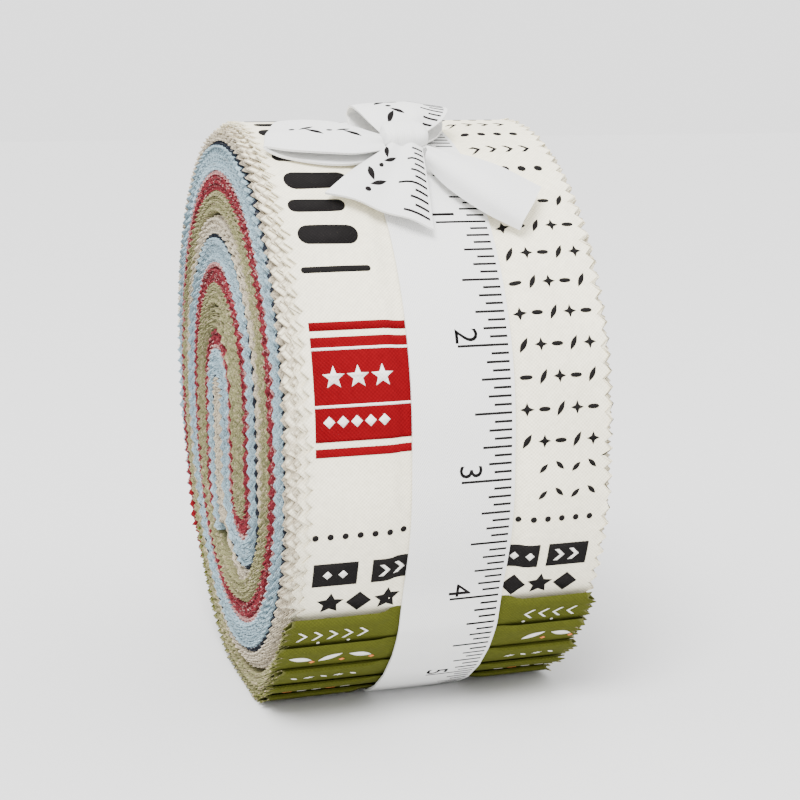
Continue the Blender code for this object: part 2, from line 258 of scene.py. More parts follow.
class TautLoop:
    """The path of something pulled tight round the roll: a radius for each angle."""

    def __init__(self):
        w = WINDING
        points = []
        for i in range(int(np.argmax(w.name == "front")), len(w.along)):
            thickness = self.thickness(w.name[i], w.degrees[i])
            points.append(w.place[i] + w.outward[i] * (thickness - HALF_STACK))
        hull = [points[k] for k in convex_hull_2d([tuple(p) for p in points])]
        ring = sorted((math.atan2(p[1], p[0]), math.hypot(p[0], p[1])) for p in hull)
        dense = []
        for (a0, r0), (a1, r1) in zip(ring, ring[1:] + [(ring[0][0] + 2 * math.pi, ring[0][1])]):
            p = np.array([math.cos(a0), math.sin(a0)]) * r0
            q = np.array([math.cos(a1), math.sin(a1)]) * r1
            for t in np.linspace(0, 1, HULL_POINTS, endpoint=False):
                m = p + (q - p) * t
                dense.append((math.atan2(m[1], m[0]), math.hypot(*m)))
        dense.sort()
        self.angles = np.array([d[0] for d in dense])
        self.radii = np.array([d[1] for d in dense])

    def thickness(self, name, degrees):
        """How thick the stack is at a place on its last turns."""
        full = TURN - SLIT
        rest = full - CREAM_THICKNESS
        if name == "last_top":
            return full - CREAM_THICKNESS * smooth_step((degrees - FADE_START) / (180 - FADE_START))
        if name == "last_leg":
            return rest
        if name == "last_bottom":
            thick = rest + (GREEN_THICKNESS - rest) * smooth_step((degrees - 180) / MIDDLE_FADE)
            left = sum(LAST_END - STEP_ANGLE * k > degrees for k in range(GREEN_STEPS))
            return thick if left == GREEN_STEPS else GREEN_THICKNESS * left / GREEN_STEPS
        return full

    def radius(self, angle):
        """How far the taut loop is from the roll's middle at an angle."""
        return np.interp(angle, self.angles, self.radii, period=2 * math.pi)


TAUT = TautLoop()


def tie_press(angle):
    """How deep the tie presses into the roll at an angle."""
    off = np.abs((np.degrees(angle) - STRIP_ENDS_AT + 180) % 360 - 180)
    return TIE_PRESS * smooth_step((off - PRESS_FREE) / PRESS_FADE)


def tie_floor(angle):
    """How far from the roll's middle the cloth may reach under the tie."""
    free = TAUT.radius(angle) - tie_press(angle) + UNDER_TIE
    below = np.maximum(-np.sin(angle), 1e-6)
    return np.minimum(free, np.where(np.sin(angle) < 0, (ROLL_CENTRE - UNDER_TIE_FLOOR) / below, free))


def settled(line):
    """The height above the floor of points of the section, with the cloth below pressed flat."""
    u, v = line[..., 0], line[..., 1]
    z = v + ROLL_CENTRE
    far = BOTTOM_RADIUS**2 - (u - TURN / 2) ** 2
    surface = ROLL_CENTRE + LOWER_ARCS - np.sqrt(np.maximum(far, 0))
    depth = (LAYERS_PRESSED - (z - surface)) / LAYERS_PRESSED
    press = np.where(surface < FLOOR_CLEARANCE, FLOOR_CLEARANCE - surface, 0)
    return np.maximum(z + press * np.clip(depth, 0, 1), FLOOR_CLEARANCE)


def placed(x, line):
    """Places in the part of points of the section, x along the roll."""
    return np.stack([x, ROLL_BACK - line[..., 0] + 0 * x, settled(line) + 0 * x], -1)


# Meshes


def mesh_piece(name, verts, faces, materials, uvs=None, colours=None, face_materials=None, sharp=40):
    """A mesh object from arrays; uvs and colours are given for each point."""
    verts = np.asarray(verts, np.float32)
    mesh = bpy.data.meshes.new(name)
    faces = np.asarray(faces, np.int32)
    size = faces.shape[1]
    mesh.vertices.add(len(verts))
    mesh.vertices.foreach_set("co", verts.ravel())
    mesh.loops.add(faces.size)
    mesh.loops.foreach_set("vertex_index", faces.ravel())
    mesh.polygons.add(len(faces))
    mesh.polygons.foreach_set("loop_start", np.arange(0, faces.size, size, dtype=np.int32))
    mesh.update(calc_edges=True)
    if uvs is not None:
        layer = mesh.uv_layers.new(name="UVMap")
        layer.data.foreach_set("uv", np.asarray(uvs, np.float32)[faces.ravel()].ravel())
    if colours is not None:
        tint = mesh.color_attributes.new("tint", "FLOAT_COLOR", "POINT")
        rgba = np.concatenate([colours, np.ones((len(colours), 1))], 1)
        tint.data.foreach_set("color", rgba.astype(np.float32).ravel())
    for material in materials:
        mesh.materials.append(material)
    if face_materials is not None:
        mesh.polygons.foreach_set("material_index", np.asarray(face_materials, np.int32))
    mesh.shade_smooth()
    mesh.set_sharp_from_angle(angle=math.radians(sharp))
    mesh.validate()
    item = bpy.data.objects.new(name, mesh)
    bpy.context.scene.collection.objects.link(item)
    return item


class Heap:
    """Collects the arrays of many bits that become one mesh."""

    def __init__(self):
        self.verts, self.faces, self.uvs, self.colours, self.kinds = [], [], [], [], []
        self.count = 0

    def add(self, verts, faces, uvs=None, colours=None, kind=0):
        """Adds points and faces; kind is the number of the faces' material."""
        verts, faces = np.asarray(verts, float).reshape(-1, 3), np.asarray(faces, int)
        self.verts.append(verts)
        self.faces.append(faces + self.count)
        self.uvs.append(np.zeros((len(verts), 2)) if uvs is None else uvs)
        self.colours.append(np.ones((len(verts), 3)) if colours is None else colours)
        self.kinds.append(np.broadcast_to(kind, len(faces)))
        self.count += len(verts)

    def make(self, name, materials, sharp=40):
        """Makes the piece from all that was added."""
        return mesh_piece(
            name, np.concatenate(self.verts), np.concatenate(self.faces), materials,
            np.concatenate(self.uvs), np.concatenate(self.colours), np.concatenate(self.kinds), sharp)


def thick_grid(heap, grid, normals, thickness, uv=None, colours=None, kind=0, closed=False, rim=None):
    """Adds a closed thin sheet: a grid of points with a face on each side and a rim."""
    rows, cols = grid.shape[:2]
    top = grid + normals * thickness / 2
    bottom = grid - normals * thickness / 2
    verts = np.stack([top, bottom], 2).reshape(-1, 3)
    span = rows if closed else rows - 1
    i = np.arange(span)[:, None]
    after = (i + 1) % rows
    j = np.arange(cols - 1)[None, :]

    def at(r, c, side):
        return (r * cols + c) * 2 + side

    upper = np.stack([at(i, j, 0), at(i, j + 1, 0), at(after, j + 1, 0), at(after, j, 0)], -1)
    lower = np.stack([at(i, j, 1), at(after, j, 1), at(after, j + 1, 1), at(i, j + 1, 1)], -1)
    i1, n1 = np.arange(span), (np.arange(span) + 1) % rows
    z, e = np.zeros(span, int), np.full(span, cols - 1)
    left = np.stack([at(i1, z, 0), at(n1, z, 0), at(n1, z, 1), at(i1, z, 1)], -1)
    right = np.stack([at(i1, e, 1), at(n1, e, 1), at(n1, e, 0), at(i1, e, 0)], -1)
    parts = [upper.reshape(-1, 4), lower.reshape(-1, 4), left, right]
    if not closed:
        c = np.arange(cols - 1)
        z, e = np.zeros(cols - 1, int), np.full(cols - 1, rows - 1)
        parts.append(np.stack([at(z, c, 1), at(z, c + 1, 1), at(z, c + 1, 0), at(z, c, 0)], -1))
        parts.append(np.stack([at(e, c, 0), at(e, c + 1, 0), at(e, c + 1, 1), at(e, c, 1)], -1))
    faces = np.concatenate(parts)
    kinds = np.full(len(faces), kind)
    if rim is not None:
        kinds[len(parts[0]) + len(parts[1]):] = rim
    flat_uv = None if uv is None else np.repeat(uv.reshape(-1, 2), 2, axis=0)
    flat_colour = None if colours is None else np.repeat(colours.reshape(-1, 3), 2, axis=0)
    heap.add(verts, faces, flat_uv, flat_colour, kinds)


def line_normals(points):
    """Unit normals of a plane line, to the right of the way along it."""
    way = np.gradient(points, axis=0)
    way /= np.maximum(np.linalg.norm(way, axis=1, keepdims=True), 1e-12)
    return np.stack([way[:, 1], -way[:, 0]], 1)


# A green strip's folded end: its upper layer puffs up a little and its lower one is tucked in
PUFF_BACK = 0.8 * MM
PUFF_LENGTH = 4.5 * MM
PUFF_HEIGHT = 0.30 * MM
TUCK_LENGTH = 3.0 * MM
TUCK_LAYERS = 1.9
FOLD_BEND = np.linspace(0.25, 2.89, 9)  # radians round the bend of any folded end


def puffed(end, back, length, height):
    """How far a strip's folded end stands up, over its last few millimetres."""
    along = WINDING.along
    return height * smooth_step((along - (along[end] - back - length)) / length)


def strip_line(strip, start_station=None):
    """A folded strip seen from its edge, and how far along the winding each point is."""
    w = WINDING
    lines, ways = [], []
    for layer in (2 * strip, 2 * strip + 1):
        start, end, offset = w.layer(layer)
        if start_station is not None:
            start = start_station
        part = slice(start, end + 1)
        if strip < GREEN_COUNT and strip % STRIPS_PER_STEP:
            if layer % 2:
                offset = offset + puffed(end, PUFF_BACK, PUFF_LENGTH, PUFF_HEIGHT)
            else:
                offset = offset - puffed(end, 0, TUCK_LENGTH, TUCK_LAYERS * w.pitch[end])
        lines.append(w.place[part] + w.outward[part] * offset[part, None])
        ways.append(w.along[part])
    inner, outer = lines
    middle = (inner[-1] + outer[-1]) / 2
    half = (outer[-1] - inner[-1]) / 2
    way = inner[-1] - inner[-2]
    way = way / np.linalg.norm(way) * np.linalg.norm(half)
    bend = [middle - half * math.cos(a) + way * math.sin(a) for a in FOLD_BEND]
    beyond = ways[0][-1] + np.linalg.norm(half) * np.sin(FOLD_BEND)
    return np.concatenate([inner, bend, outer[::-1]]), np.concatenate([ways[0], beyond, ways[1][::-1]])


def tooth_stations(line, wound, step, shift):
    """Points of a line at each tip and valley of its teeth, how far along they are, and which."""
    along = np.concatenate([[0], np.cumsum(np.linalg.norm(np.diff(line, axis=0), axis=1))])
    top = int(np.argmax(wound))
    first, middle, last = ((wound[k] + shift) / step for k in (0, top, -1))
    rising = np.arange(math.ceil(first), math.floor(middle) + 1)
    at = np.interp(rising * step - shift, wound[:top + 1], along[:top + 1])
    number = rising
    if top < len(wound) - 1:
        falling = np.arange(math.floor(middle), math.ceil(last) - 1, -1)
        back = np.interp(shift - falling * step, -wound[top:], along[top:])
        at = np.concatenate([at, [along[top]], back])
        number = np.concatenate([rising, [0], falling])
    at, number = np.concatenate([[0], at, [along[-1]]]), np.concatenate([[0], number, [0]])
    keep = np.concatenate([[True], np.diff(at) > 1e-5])
    at, tip = at[keep], (number[keep] % 2).astype(int)
    return np.stack([np.interp(at, along, line[:, k]) for k in range(2)], 1), at, tip


# The groove under the tie: places across the roll, and how much of the press each gets
GROOVE_COLUMNS = TAPE_X + np.array([-14.6, -13.4, -12.2, -11.0, -5.0, 0, 5.0, 11.0, 12.2, 13.4, 14.6]) * MM
GROOVE_SHARES = np.array([0, 0.22, 0.78, 1, 1, 1, 1, 1, 0.78, 0.22, 0])
FULL_PRESS = 0.95  # under the tie the layers keep a little of their spacing

# The pinked edges
TOOTH_SHIFT = 0.3  # how far the teeth of different strips are out of line, in teeth
VALLEY_DEPTH, VALLEY_SPREAD = 0.85, 0.22  # how deep the cut between two teeth is, in tooth depths
VALLEY_LIMITS = (0.2, 1.3)
INNER_BITE, OUTER_BITE = 0.55, 0.45  # tooth depth in the roll, and what the outer layers add
BITE_REACH = 4 * MM
WAVE, WAVE_TURNS, WAVE_PHASE = 0.28 * MM, 34, 6.3  # a strip's edge wanders: radians a metre
OUT_OF_LINE = 0.25 * MM  # how far a whole strip stands out of line
TOOTH_CURL = 0.45 * MM
STRIP_SHADE, TOOTH_SHADE = 0.07, 0.08
FRESH_SHARE = 0.75  # how much of the face's own colour the outermost edges show
FIRST_STEPPED = 34  # strips above this one are set in, each a little more
EDGE_STEP = 0.5 * MM  # how much narrower each outer strip seems than the one below it
STEP_REACH = 8 * MM
DARK_INSET = 0.1 * MM
SHOWN_DEPTH = 2.6 * MM  # how far below the roll's outside the cloth can show or is pressed
FLAT_HALF = 20 * MM  # nearer the middle than this, a strip lies straight


def press_share(x):
    """How much of the tie's press a place across the roll gets."""
    return FULL_PRESS * np.interp(x, GROOVE_COLUMNS, GROOVE_SHARES)


def shown_columns(edge):
    """The places across a strip that can show: its edges, a little inside them, and the groove."""
    inner = [np.full_like(edge, x) for x in (-25 * MM, -19 * MM, *GROOVE_COLUMNS, 22 * MM, 27 * MM)]
    return np.stack([-edge, 0.5 * MM - edge, *inner, edge - 0.5 * MM, edge], 1)


def add_cloth(heap, strip, line, wound, rng):
    """Adds a sheet of cloth that follows a line of the section, with pinked edges."""
    sizes = bpy.context.scene.strip_sizes
    edge_colour, face_colour = strip_colours(strip)
    shift = rng.normal(0, TOOTH_SHIFT * sizes.tooth_pitch)
    line, along, tip = tooth_stations(line, wound, sizes.tooth_pitch / 2, shift)
    normals = line_normals(line)
    count = len(line)
    half = sizes.width / 2
    ragged = np.clip(rng.normal(VALLEY_DEPTH, VALLEY_SPREAD, (2, count)), *VALLEY_LIMITS)
    drift = WAVE * np.sin(along * WAVE_TURNS + rng.uniform(0, WAVE_PHASE)) + rng.normal(0, OUT_OF_LINE)
    far = np.linalg.norm(line, axis=1)
    push = CORE_PUSH * np.clip(1 - (far / (3 * TURN)) ** 2, 0, 1)
    angle = np.arctan2(line[:, 1], line[:, 0])
    depth = TAUT.radius(angle) - far
    bite = sizes.tooth_depth * (INNER_BITE + OUTER_BITE * smooth_step(1.6 - depth / BITE_REACH))
    valley = (1 - tip) * bite
    edge = half - valley
    shade = rng.normal(1, STRIP_SHADE)
    shown = depth < SHOWN_DEPTH
    inset = EDGE_STEP * max(0, strip - FIRST_STEPPED) * smooth_step(1.4 - depth / STEP_REACH)
    if strip in DARK_STRIPS:
        inset = inset + DARK_INSET
    curl = np.where(shown, rng.uniform(0, TOOTH_CURL, (2, count)), 0) * tip
    borders = [0, *(np.nonzero(np.diff(shown.astype(int)))[0] + 1), count - 1]
    for first, last in zip(borders, borders[1:]):
        if last <= first:
            continue
        part = slice(first, last + 1)
        wide = bool(shown[first])
        x = shown_columns(edge[part]) if wide else np.stack([-edge[part], edge[part]], 1)
        near = slice(0, len(x[0]) // 2)
        x[:, near] += inset[part, None] * smooth_step((-x[:, near] - FLAT_HALF) / STEP_REACH)
        x[:, -1] -= 0.3 * inset[part]
        x[:, 0] += valley[part] * (ragged[0, part] - 1)
        x[:, -1] -= valley[part] * (ragged[1, part] - 1)
        x = x + (drift - push)[part, None] * smooth_step((np.abs(x) - FLAT_HALF) / (11 * MM))
        sink = np.maximum(far[part] + sizes.cloth - tie_floor(angle[part]), 0)
        pressed = sink[:, None] * press_share(x) if wide else np.zeros_like(x)
        pressed[:, 0] -= curl[0, part]
        pressed[:, -1] -= curl[1, part]
        radial = line[part] / far[part, None]
        flat = line[part, None, :] - radial[:, None, :] * pressed[..., None]
        grid = placed(x, flat)
        normal3 = np.stack([np.zeros(len(x)), -normals[part, 0], normals[part, 1]], 1)
        normal3 = np.broadcast_to(normal3[:, None, :], grid.shape)
        uv = np.stack([np.broadcast_to(along[part, None], x.shape), x], -1)
        tints = np.empty((*x.shape, 3))
        tints[:] = face_colour
        fresh = (FRESH_SHARE * smooth_step(1.5 - depth[part] / MM))[:, None]
        plain = edge_colour * (1 - fresh) + face_colour * fresh
        for c in (0, -1):
            tints[:, c] = plain * shade * rng.normal(1, TOOTH_SHADE, (len(x), 1))
        thick_grid(heap, grid, normal3, sizes.cloth, uv, np.clip(tints, 0, 1), 1 if wide else 0, rim=0)


def strip_colours(strip):
    """The edge and face colours of a strip, which are those of its group in the stack."""
    groups = [row for row in STACK for _ in range(row[1])]
    return np.array(groups[strip][2]), np.array(groups[strip][3])


# Materials


class Nodes:
    """A small helper that adds shader nodes to a material."""

    def __init__(self, name):
        self.material = bpy.data.materials.new(name)
        self.material.use_nodes = True
        self.tree = self.material.node_tree
        self.shader = self.tree.nodes["Principled BSDF"]

    def add(self, kind, inputs=None, **settings):
        """Adds a node and links or sets its inputs."""
        node = self.tree.nodes.new(kind)
        for key, value in settings.items():
            setattr(node, key, value)
        for key, value in (inputs or {}).items():
            if isinstance(value, bpy.types.NodeSocket):
                self.tree.links.new(value, node.inputs[key])
            else:
                node.inputs[key].default_value = value
        return node

    def maths(self, operation, a, b=0.0):
        return self.add("ShaderNodeMath", {0: a, 1: b}, operation=operation).outputs[0]

    def mix(self, share, a, b):
        node = self.add("ShaderNodeMix", {0: share, 6: a, 7: b}, data_type="RGBA")
        return node.outputs[2]

    def link(self, socket, target):
        self.tree.links.new(socket, self.shader.inputs[target])

    def noise(self, scale, detail, place):
        """Noise in the piece's own coordinates."""
        inputs = {"Scale": scale, "Detail": detail, "Vector": place}
        return self.add("ShaderNodeTexNoise", inputs).outputs["Fac"]

    def threads(self, pitch):
        """The height of a plain weave, from the cloth's own UV in metres."""
        uv = self.add("ShaderNodeUVMap").outputs[0]
        split = self.add("ShaderNodeSeparateXYZ", {0: uv})
        turns = math.pi / pitch
        warp = self.maths("SINE", self.maths("MULTIPLY", split.outputs[0], turns))
        weft = self.maths("SINE", self.maths("MULTIPLY", split.outputs[1], turns))
        return self.maths("MULTIPLY", warp, weft)


    def vertex_tint(self):
        return self.add("ShaderNodeAttribute", attribute_name="tint").outputs["Color"]

    def plain_colour(self, base):
        colour = self.add("ShaderNodeRGB").outputs[0]
        colour.default_value = (*base, 1)
        return colour

    def ranged(self, value, *limits):
        """A value moved from one range to another: from low, from high, to low, to high."""
        return self.add("ShaderNodeMapRange", dict(enumerate((value, *limits)))).outputs[0]

    def finish(self, colour, tone, height, strength, depth):
        """Links a colour scaled by a tone, which in the face cotton and the tape holds painted shade of the
        weave, and a bump, and returns the material.
        """
        toned = self.add("ShaderNodeVectorMath", {0: colour, 3: tone}, operation="SCALE")
        self.link(toned.outputs[0], "Base Color")
        bump = self.add("ShaderNodeBump", {"Height": height, "Strength": strength, "Distance": depth})
        self.link(bump.outputs[0], "Normal")
        return self.material


THREAD_PITCH = 0.38 * MM
RIB_PITCH = 0.75 * MM
RIB_TURN = 3.5 * MM  # the tape's ribs slant to and fro between lines this far apart
FINE_PITCH = 0.4 * MM


def plain_shader(nodes, roughness, sheen=0.0):
    """Sets the dull surface that all the cloth has."""
    nodes.shader.inputs["Roughness"].default_value = roughness
    nodes.shader.inputs["Sheen Weight"].default_value = sheen
    nodes.shader.inputs["Sheen Roughness"].default_value = 0.6
    nodes.shader.inputs["Specular IOR Level"].default_value = 0.06


def cotton_material(name, speck, amount):
    """Printed cotton: its colour comes from the cloth, with bits of print along the cut edges."""
    nodes = Nodes(name)
    plain_shader(nodes, 0.95)
    place = nodes.add("ShaderNodeTexCoord").outputs["Object"]
    level = nodes.ranged(nodes.noise(1500, 2.0, place), 0.66 - amount * 0.4, 0.78 - amount * 0.4)
    shade = nodes.ranged(nodes.noise(3600, 2.0, place), 0.3, 0.75, 0.5, 1.3)
    mixed = nodes.mix(level, nodes.vertex_tint(), (*speck, 1))
    return nodes.finish(mixed, shade, nodes.threads(THREAD_PITCH), 0.35, 0.05 * MM)


def face_cotton_material(name, base=None):
    """Cotton that shows its face: plain weave with painted shade between the threads, slightly uneven dye
    and a few slubs.
    """
    nodes = Nodes(name)
    plain_shader(nodes, 0.92)
    colour = nodes.vertex_tint() if base is None else nodes.plain_colour(base)
    place = nodes.add("ShaderNodeTexCoord").outputs["Object"]
    weave = nodes.threads(THREAD_PITCH)
    cloudy = nodes.ranged(nodes.noise(60, 3.0, place), 0.3, 0.7, 0.94, 1.04)
    # painted shade: the colour follows the weave's height, darker in its hollows and lighter on the raised
    # threads
    weave_shade = nodes.ranged(weave, -1.0, 1.0, 0.86, 1.08)
    slubs = nodes.ranged(nodes.noise(900, 2.0, place), 0.3, 0.75, 0.93, 1.06)
    tone = nodes.maths("MULTIPLY", nodes.maths("MULTIPLY", cloudy, weave_shade), slubs)
    return nodes.finish(colour, tone, weave, 0.5, 0.06 * MM)


def tape_material(name, base):
    """White twill tape: fine slanting ribs, with painted shade in the grooves between them."""
    nodes = Nodes(name)
    plain_shader(nodes, 0.85, 0.08)
    uv = nodes.add("ShaderNodeUVMap").outputs[0]
    split = nodes.add("ShaderNodeSeparateXYZ", {0: uv})
    across = nodes.maths("PINGPONG", split.outputs[1], RIB_TURN)
    slant = nodes.maths("ADD", split.outputs[0], nodes.maths("MULTIPLY", across, 1.6))
    ribs = nodes.maths("SINE", nodes.maths("MULTIPLY", slant, 2 * math.pi / RIB_PITCH))
    fine = nodes.maths("SINE", nodes.maths("MULTIPLY", split.outputs[1], 2 * math.pi / FINE_PITCH))
    height = nodes.maths("ADD", ribs, nodes.maths("MULTIPLY", fine, 0.4))
    # painted shade: the colour follows the ribs' height, darker in the grooves and lighter on the crests
    tone = nodes.ranged(height, -1.4, 1.4, 0.93, 1.03)
    return nodes.finish(nodes.plain_colour(base), tone, height, 0.4, 0.05 * MM)


# Motifs, in millimetres on the flat cloth: t along the strip, x across it


BLACK, RED, WHITE, ORANGE = range(4)
INK_NAMES = ("black", "red", "white", "orange")
INK_TOP = 0.022 * MM  # how far the ink's upper and lower sides are from the cloth's
INK_BOTTOM = -0.03 * MM
INK_LAYER = 0.02 * MM
MOTIF_CUT = 1.6  # the ink is cut across at least this often, so that it can bend
BOW_CUT = 0.4
EDGE_GAP = 15.5  # motifs stay this far from the middle of the tie


def regular(t, x, radius, count):
    """A round or many-sided dot."""
    a = [2 * math.pi * k / count for k in range(count)]
    return [(t + radius * math.cos(k), x + radius * math.sin(k)) for k in a]


def star(t, x, radius, points=5, waist=0.45):
    """A star whose waist is a share of its radius."""
    out = []
    for k in range(points * 2):
        r = radius if k % 2 == 0 else radius * waist
        a = math.pi * k / points
        out.append((t + r * math.cos(a), x + r * math.sin(a)))
    return out


def box(t0, x0, t1, x1):
    """A rectangle between two corners."""
    return [(t0, x0), (t1, x0), (t1, x1), (t0, x1)]


def leaf(t, x, length, width, turn):
    """A pointed leaf about its middle."""
    side = [(length * (k / 6 - 0.5), width * math.sin(math.pi * k / 6) / 2) for k in range(7)]
    outline = side + [(p, -q) for p, q in side[-2:0:-1]]
    c, s = math.cos(turn), math.sin(turn)
    return [(t + p * c - q * s, x + p * s + q * c) for p, q in outline]


def chevron(t, x, size, stroke, way):
    """An arrow head that points along x."""
    return [(t - size, x - way * size), (t - size, x - way * (size - stroke)),
            (t, x + way * stroke), (t + size, x - way * (size - stroke)),
            (t + size, x - way * size), (t, x)]


def lens_bar(t, x0, x1, height):
    """A broad stroke along x whose ends run out to points."""
    count = 10
    upper, lower = [], []
    for k in range(count + 1):
        share = k / count
        swell = math.sin(math.pi * share) ** 0.35 * height / 2
        x = x0 + (x1 - x0) * share
        upper.append((t + swell, x))
        lower.append((t - swell, x))
    return upper + lower[-2:0:-1]


def round_bar(t, x0, x1, height):
    """A broad bar along x with blunt rounded ends and slightly wavy sides."""
    upper, lower = [], []
    for k in range(17):
        share = k / 16
        x = x0 + (x1 - x0) * (1 - math.cos(math.pi * share)) / 2
        near = min(x - x0, x1 - x) / (0.45 * height)
        swell = height / 2 * math.sqrt(max(0.0, 1 - (1 - min(near, 1)) ** 2)) + 0.02
        upper.append((t + swell * (1 + 0.05 * math.sin(7 * share + t)), x))
        lower.append((t - swell * (1 + 0.05 * math.sin(5 * share + 2 * t)), x))
    return upper + lower[::-1]


def cut_outlines(outlines, columns, cut):
    """Flat outlines as triangles that can bend, with their points and border edges."""
    mesh = bmesh.new()
    for outline in outlines:
        mesh.faces.new([mesh.verts.new((*point, 0)) for point in outline])
    reach = [v.co.x for v in mesh.verts]
    rows = range(math.floor(min(reach) / cut) + 1, math.ceil(max(reach) / cut))
    planes = [((k * cut, 0, 0), (1, 0, 0)) for k in rows]
    planes += [((0, x, 0), (0, 1, 0)) for x in columns]
    for place, way in planes:
        bmesh.ops.bisect_plane(
            mesh, geom=mesh.verts[:] + mesh.edges[:] + mesh.faces[:], plane_co=place, plane_no=way)
    bmesh.ops.triangulate(mesh, faces=mesh.faces[:])
    bmesh.ops.recalc_face_normals(mesh, faces=mesh.faces[:])
    mesh.verts.index_update()
    flat = np.array([v.co[:2] for v in mesh.verts])
    tris = [[v.index for v in f.verts] for f in mesh.faces if f.normal.z > 0]
    tris += [[v.index for v in f.verts][::-1] for f in mesh.faces if f.normal.z <= 0]
    border = [(e.verts[0].index, e.verts[1].index) for e in mesh.edges if e.is_boundary]
    mesh.free()
    return flat, np.array(tris), border


def print_motifs(name, motifs, surface, materials, lift, columns, cut=MOTIF_CUT):
    """Lays flat outlines on a curved surface as thin ink. A motif is (outline, kind, layer)."""
    heap = Heap()
    for layer, kind in sorted({(m[2], m[1]) for m in motifs}):
        outlines = [m[0] for m in motifs if (m[2], m[1]) == (layer, kind)]
        flat, tris, border = cut_outlines(outlines, columns, cut)
        base = lift + layer * INK_LAYER
        top = surface(flat[:, 0] * MM, flat[:, 1] * MM, base + INK_TOP)
        bottom = surface(flat[:, 0] * MM, flat[:, 1] * MM, base + INK_BOTTOM)
        verts, uv = np.concatenate([top, bottom]), np.concatenate([flat, flat]) * MM
        n = len(flat)
        sides = [side for a, b in border for side in ([a, b, b + n], [a, b + n, a + n])]
        heap.add(verts, np.concatenate([tris, tris[:, ::-1] + n]), uv, None, kind)
        heap.add(verts, sides, uv, None, kind)
    item = heap.make(name, materials, sharp=60)
    mesh = bmesh.new()
    mesh.from_mesh(item.data)
    bmesh.ops.remove_doubles(mesh, verts=mesh.verts[:], dist=1e-7)
    bmesh.ops.recalc_face_normals(mesh, faces=mesh.faces[:])
    mesh.to_mesh(item.data)
    mesh.free()
    return item


STATIONS_SPARED = 8  # the print ends this many stations before the strip's fold
PRINT_LIFT = 0.05 * MM


def outer_line():
    """The outer side of the outermost strip, as (points, outward ways, distance along)."""
    w = WINDING
    start, end, offset = w.layer(2 * STRIP_COUNT - 1)
    first = w.index("front", LAST_END)
    part = slice(first, end - STATIONS_SPARED)
    cloth = bpy.context.scene.strip_sizes.cloth
    points = w.place[part] + w.outward[part] * (offset[part, None] + cloth / 2)
    steps = np.linalg.norm(np.diff(points, axis=0), axis=1)
    return points, w.outward[part], np.concatenate([[0], np.cumsum(steps)])


def outer_surface(points, ways, along):
    """A function from (distance along, x, height) to places on the printed strip's outer side."""

    def place(t, x, lift):
        p = np.stack([np.interp(t, along, points[:, k]) for k in range(2)], 1)
        n = np.stack([np.interp(t, along, ways[:, k]) for k in range(2)], 1)
        n /= np.linalg.norm(n, axis=1, keepdims=True)
        far = np.linalg.norm(p, axis=1)
        angle = np.arctan2(p[:, 1], p[:, 0])
        cloth = bpy.context.scene.strip_sizes.cloth
        sink = np.maximum(far + cloth / 2 - tie_floor(angle), 0) * press_share(x)
        p = p + n * (lift + PRINT_LIFT) - p / far[:, None] * sink[:, None]
        return placed(x, p)

    return place


def end_surface(strip):
    """The outer side of a strip's folded end, with distances back from the fold."""
    w = WINDING
    _, end, offset = w.layer(2 * strip + 1)
    part = slice(w.last_start, end + 1)
    lift = puffed(end, PUFF_BACK, PUFF_LENGTH, PUFF_HEIGHT)[part]
    cloth = bpy.context.scene.strip_sizes.cloth
    points = w.place[part] + w.outward[part] * (offset[part] + lift + cloth / 2)[:, None]
    points, ways = points[::-1], w.outward[part][::-1]
    steps = np.linalg.norm(np.diff(points, axis=0), axis=1)
    return outer_surface(points, ways, np.concatenate([[0], np.cumsum(steps)]))


def clear_of_tie(start, end, step, gap=EDGE_GAP):
    """Places across the roll, a step apart, that the tie leaves free."""
    return [x for x in np.arange(start, end, step) if abs(x - TAPE_X / MM) > gap]


def green_print(pair):
    """Plain light motifs for one of the green folded ends."""
    motifs = []
    places = clear_of_tie(-27.0, 27.5, 3.0)
    for k, x in enumerate(places):
        if pair == 0:
            motifs.append((chevron(4.2, x, 1.5, 0.55, 1 if x < 0 else -1), WHITE, 0))
            if k % 2:
                motifs.append((regular(6.9, x, 0.35, 8), WHITE, 0))
        elif pair == 1 and k % 2 == 0:
            motifs.append((leaf(3.6, x, 5.2, 2.0, 1.2 + 0.5 * (k % 4)), WHITE, 0))
            motifs.append((regular(5.4, x + 2.6, 0.6, 4), ORANGE, 0))
        elif pair == 2:
            shape = star(3.4, x, 1.1, 6, 0.4) if k % 2 else leaf(3.4, x, 2.6, 0.8, 0.7)
            motifs.append((shape, WHITE, 0))
        elif pair == 3:
            kind = ORANGE if k % 3 == 0 else WHITE
            motifs.append((lens_bar(3.0, x - 1.0, x + 1.0, 0.6), kind, 0))
        elif pair == 4:
            motifs.append((regular(2.6, x, 0.45, 8), WHITE, 0))
    return motifs


PRINT_LEFT, PRINT_RIGHT = -26.8, 28.2


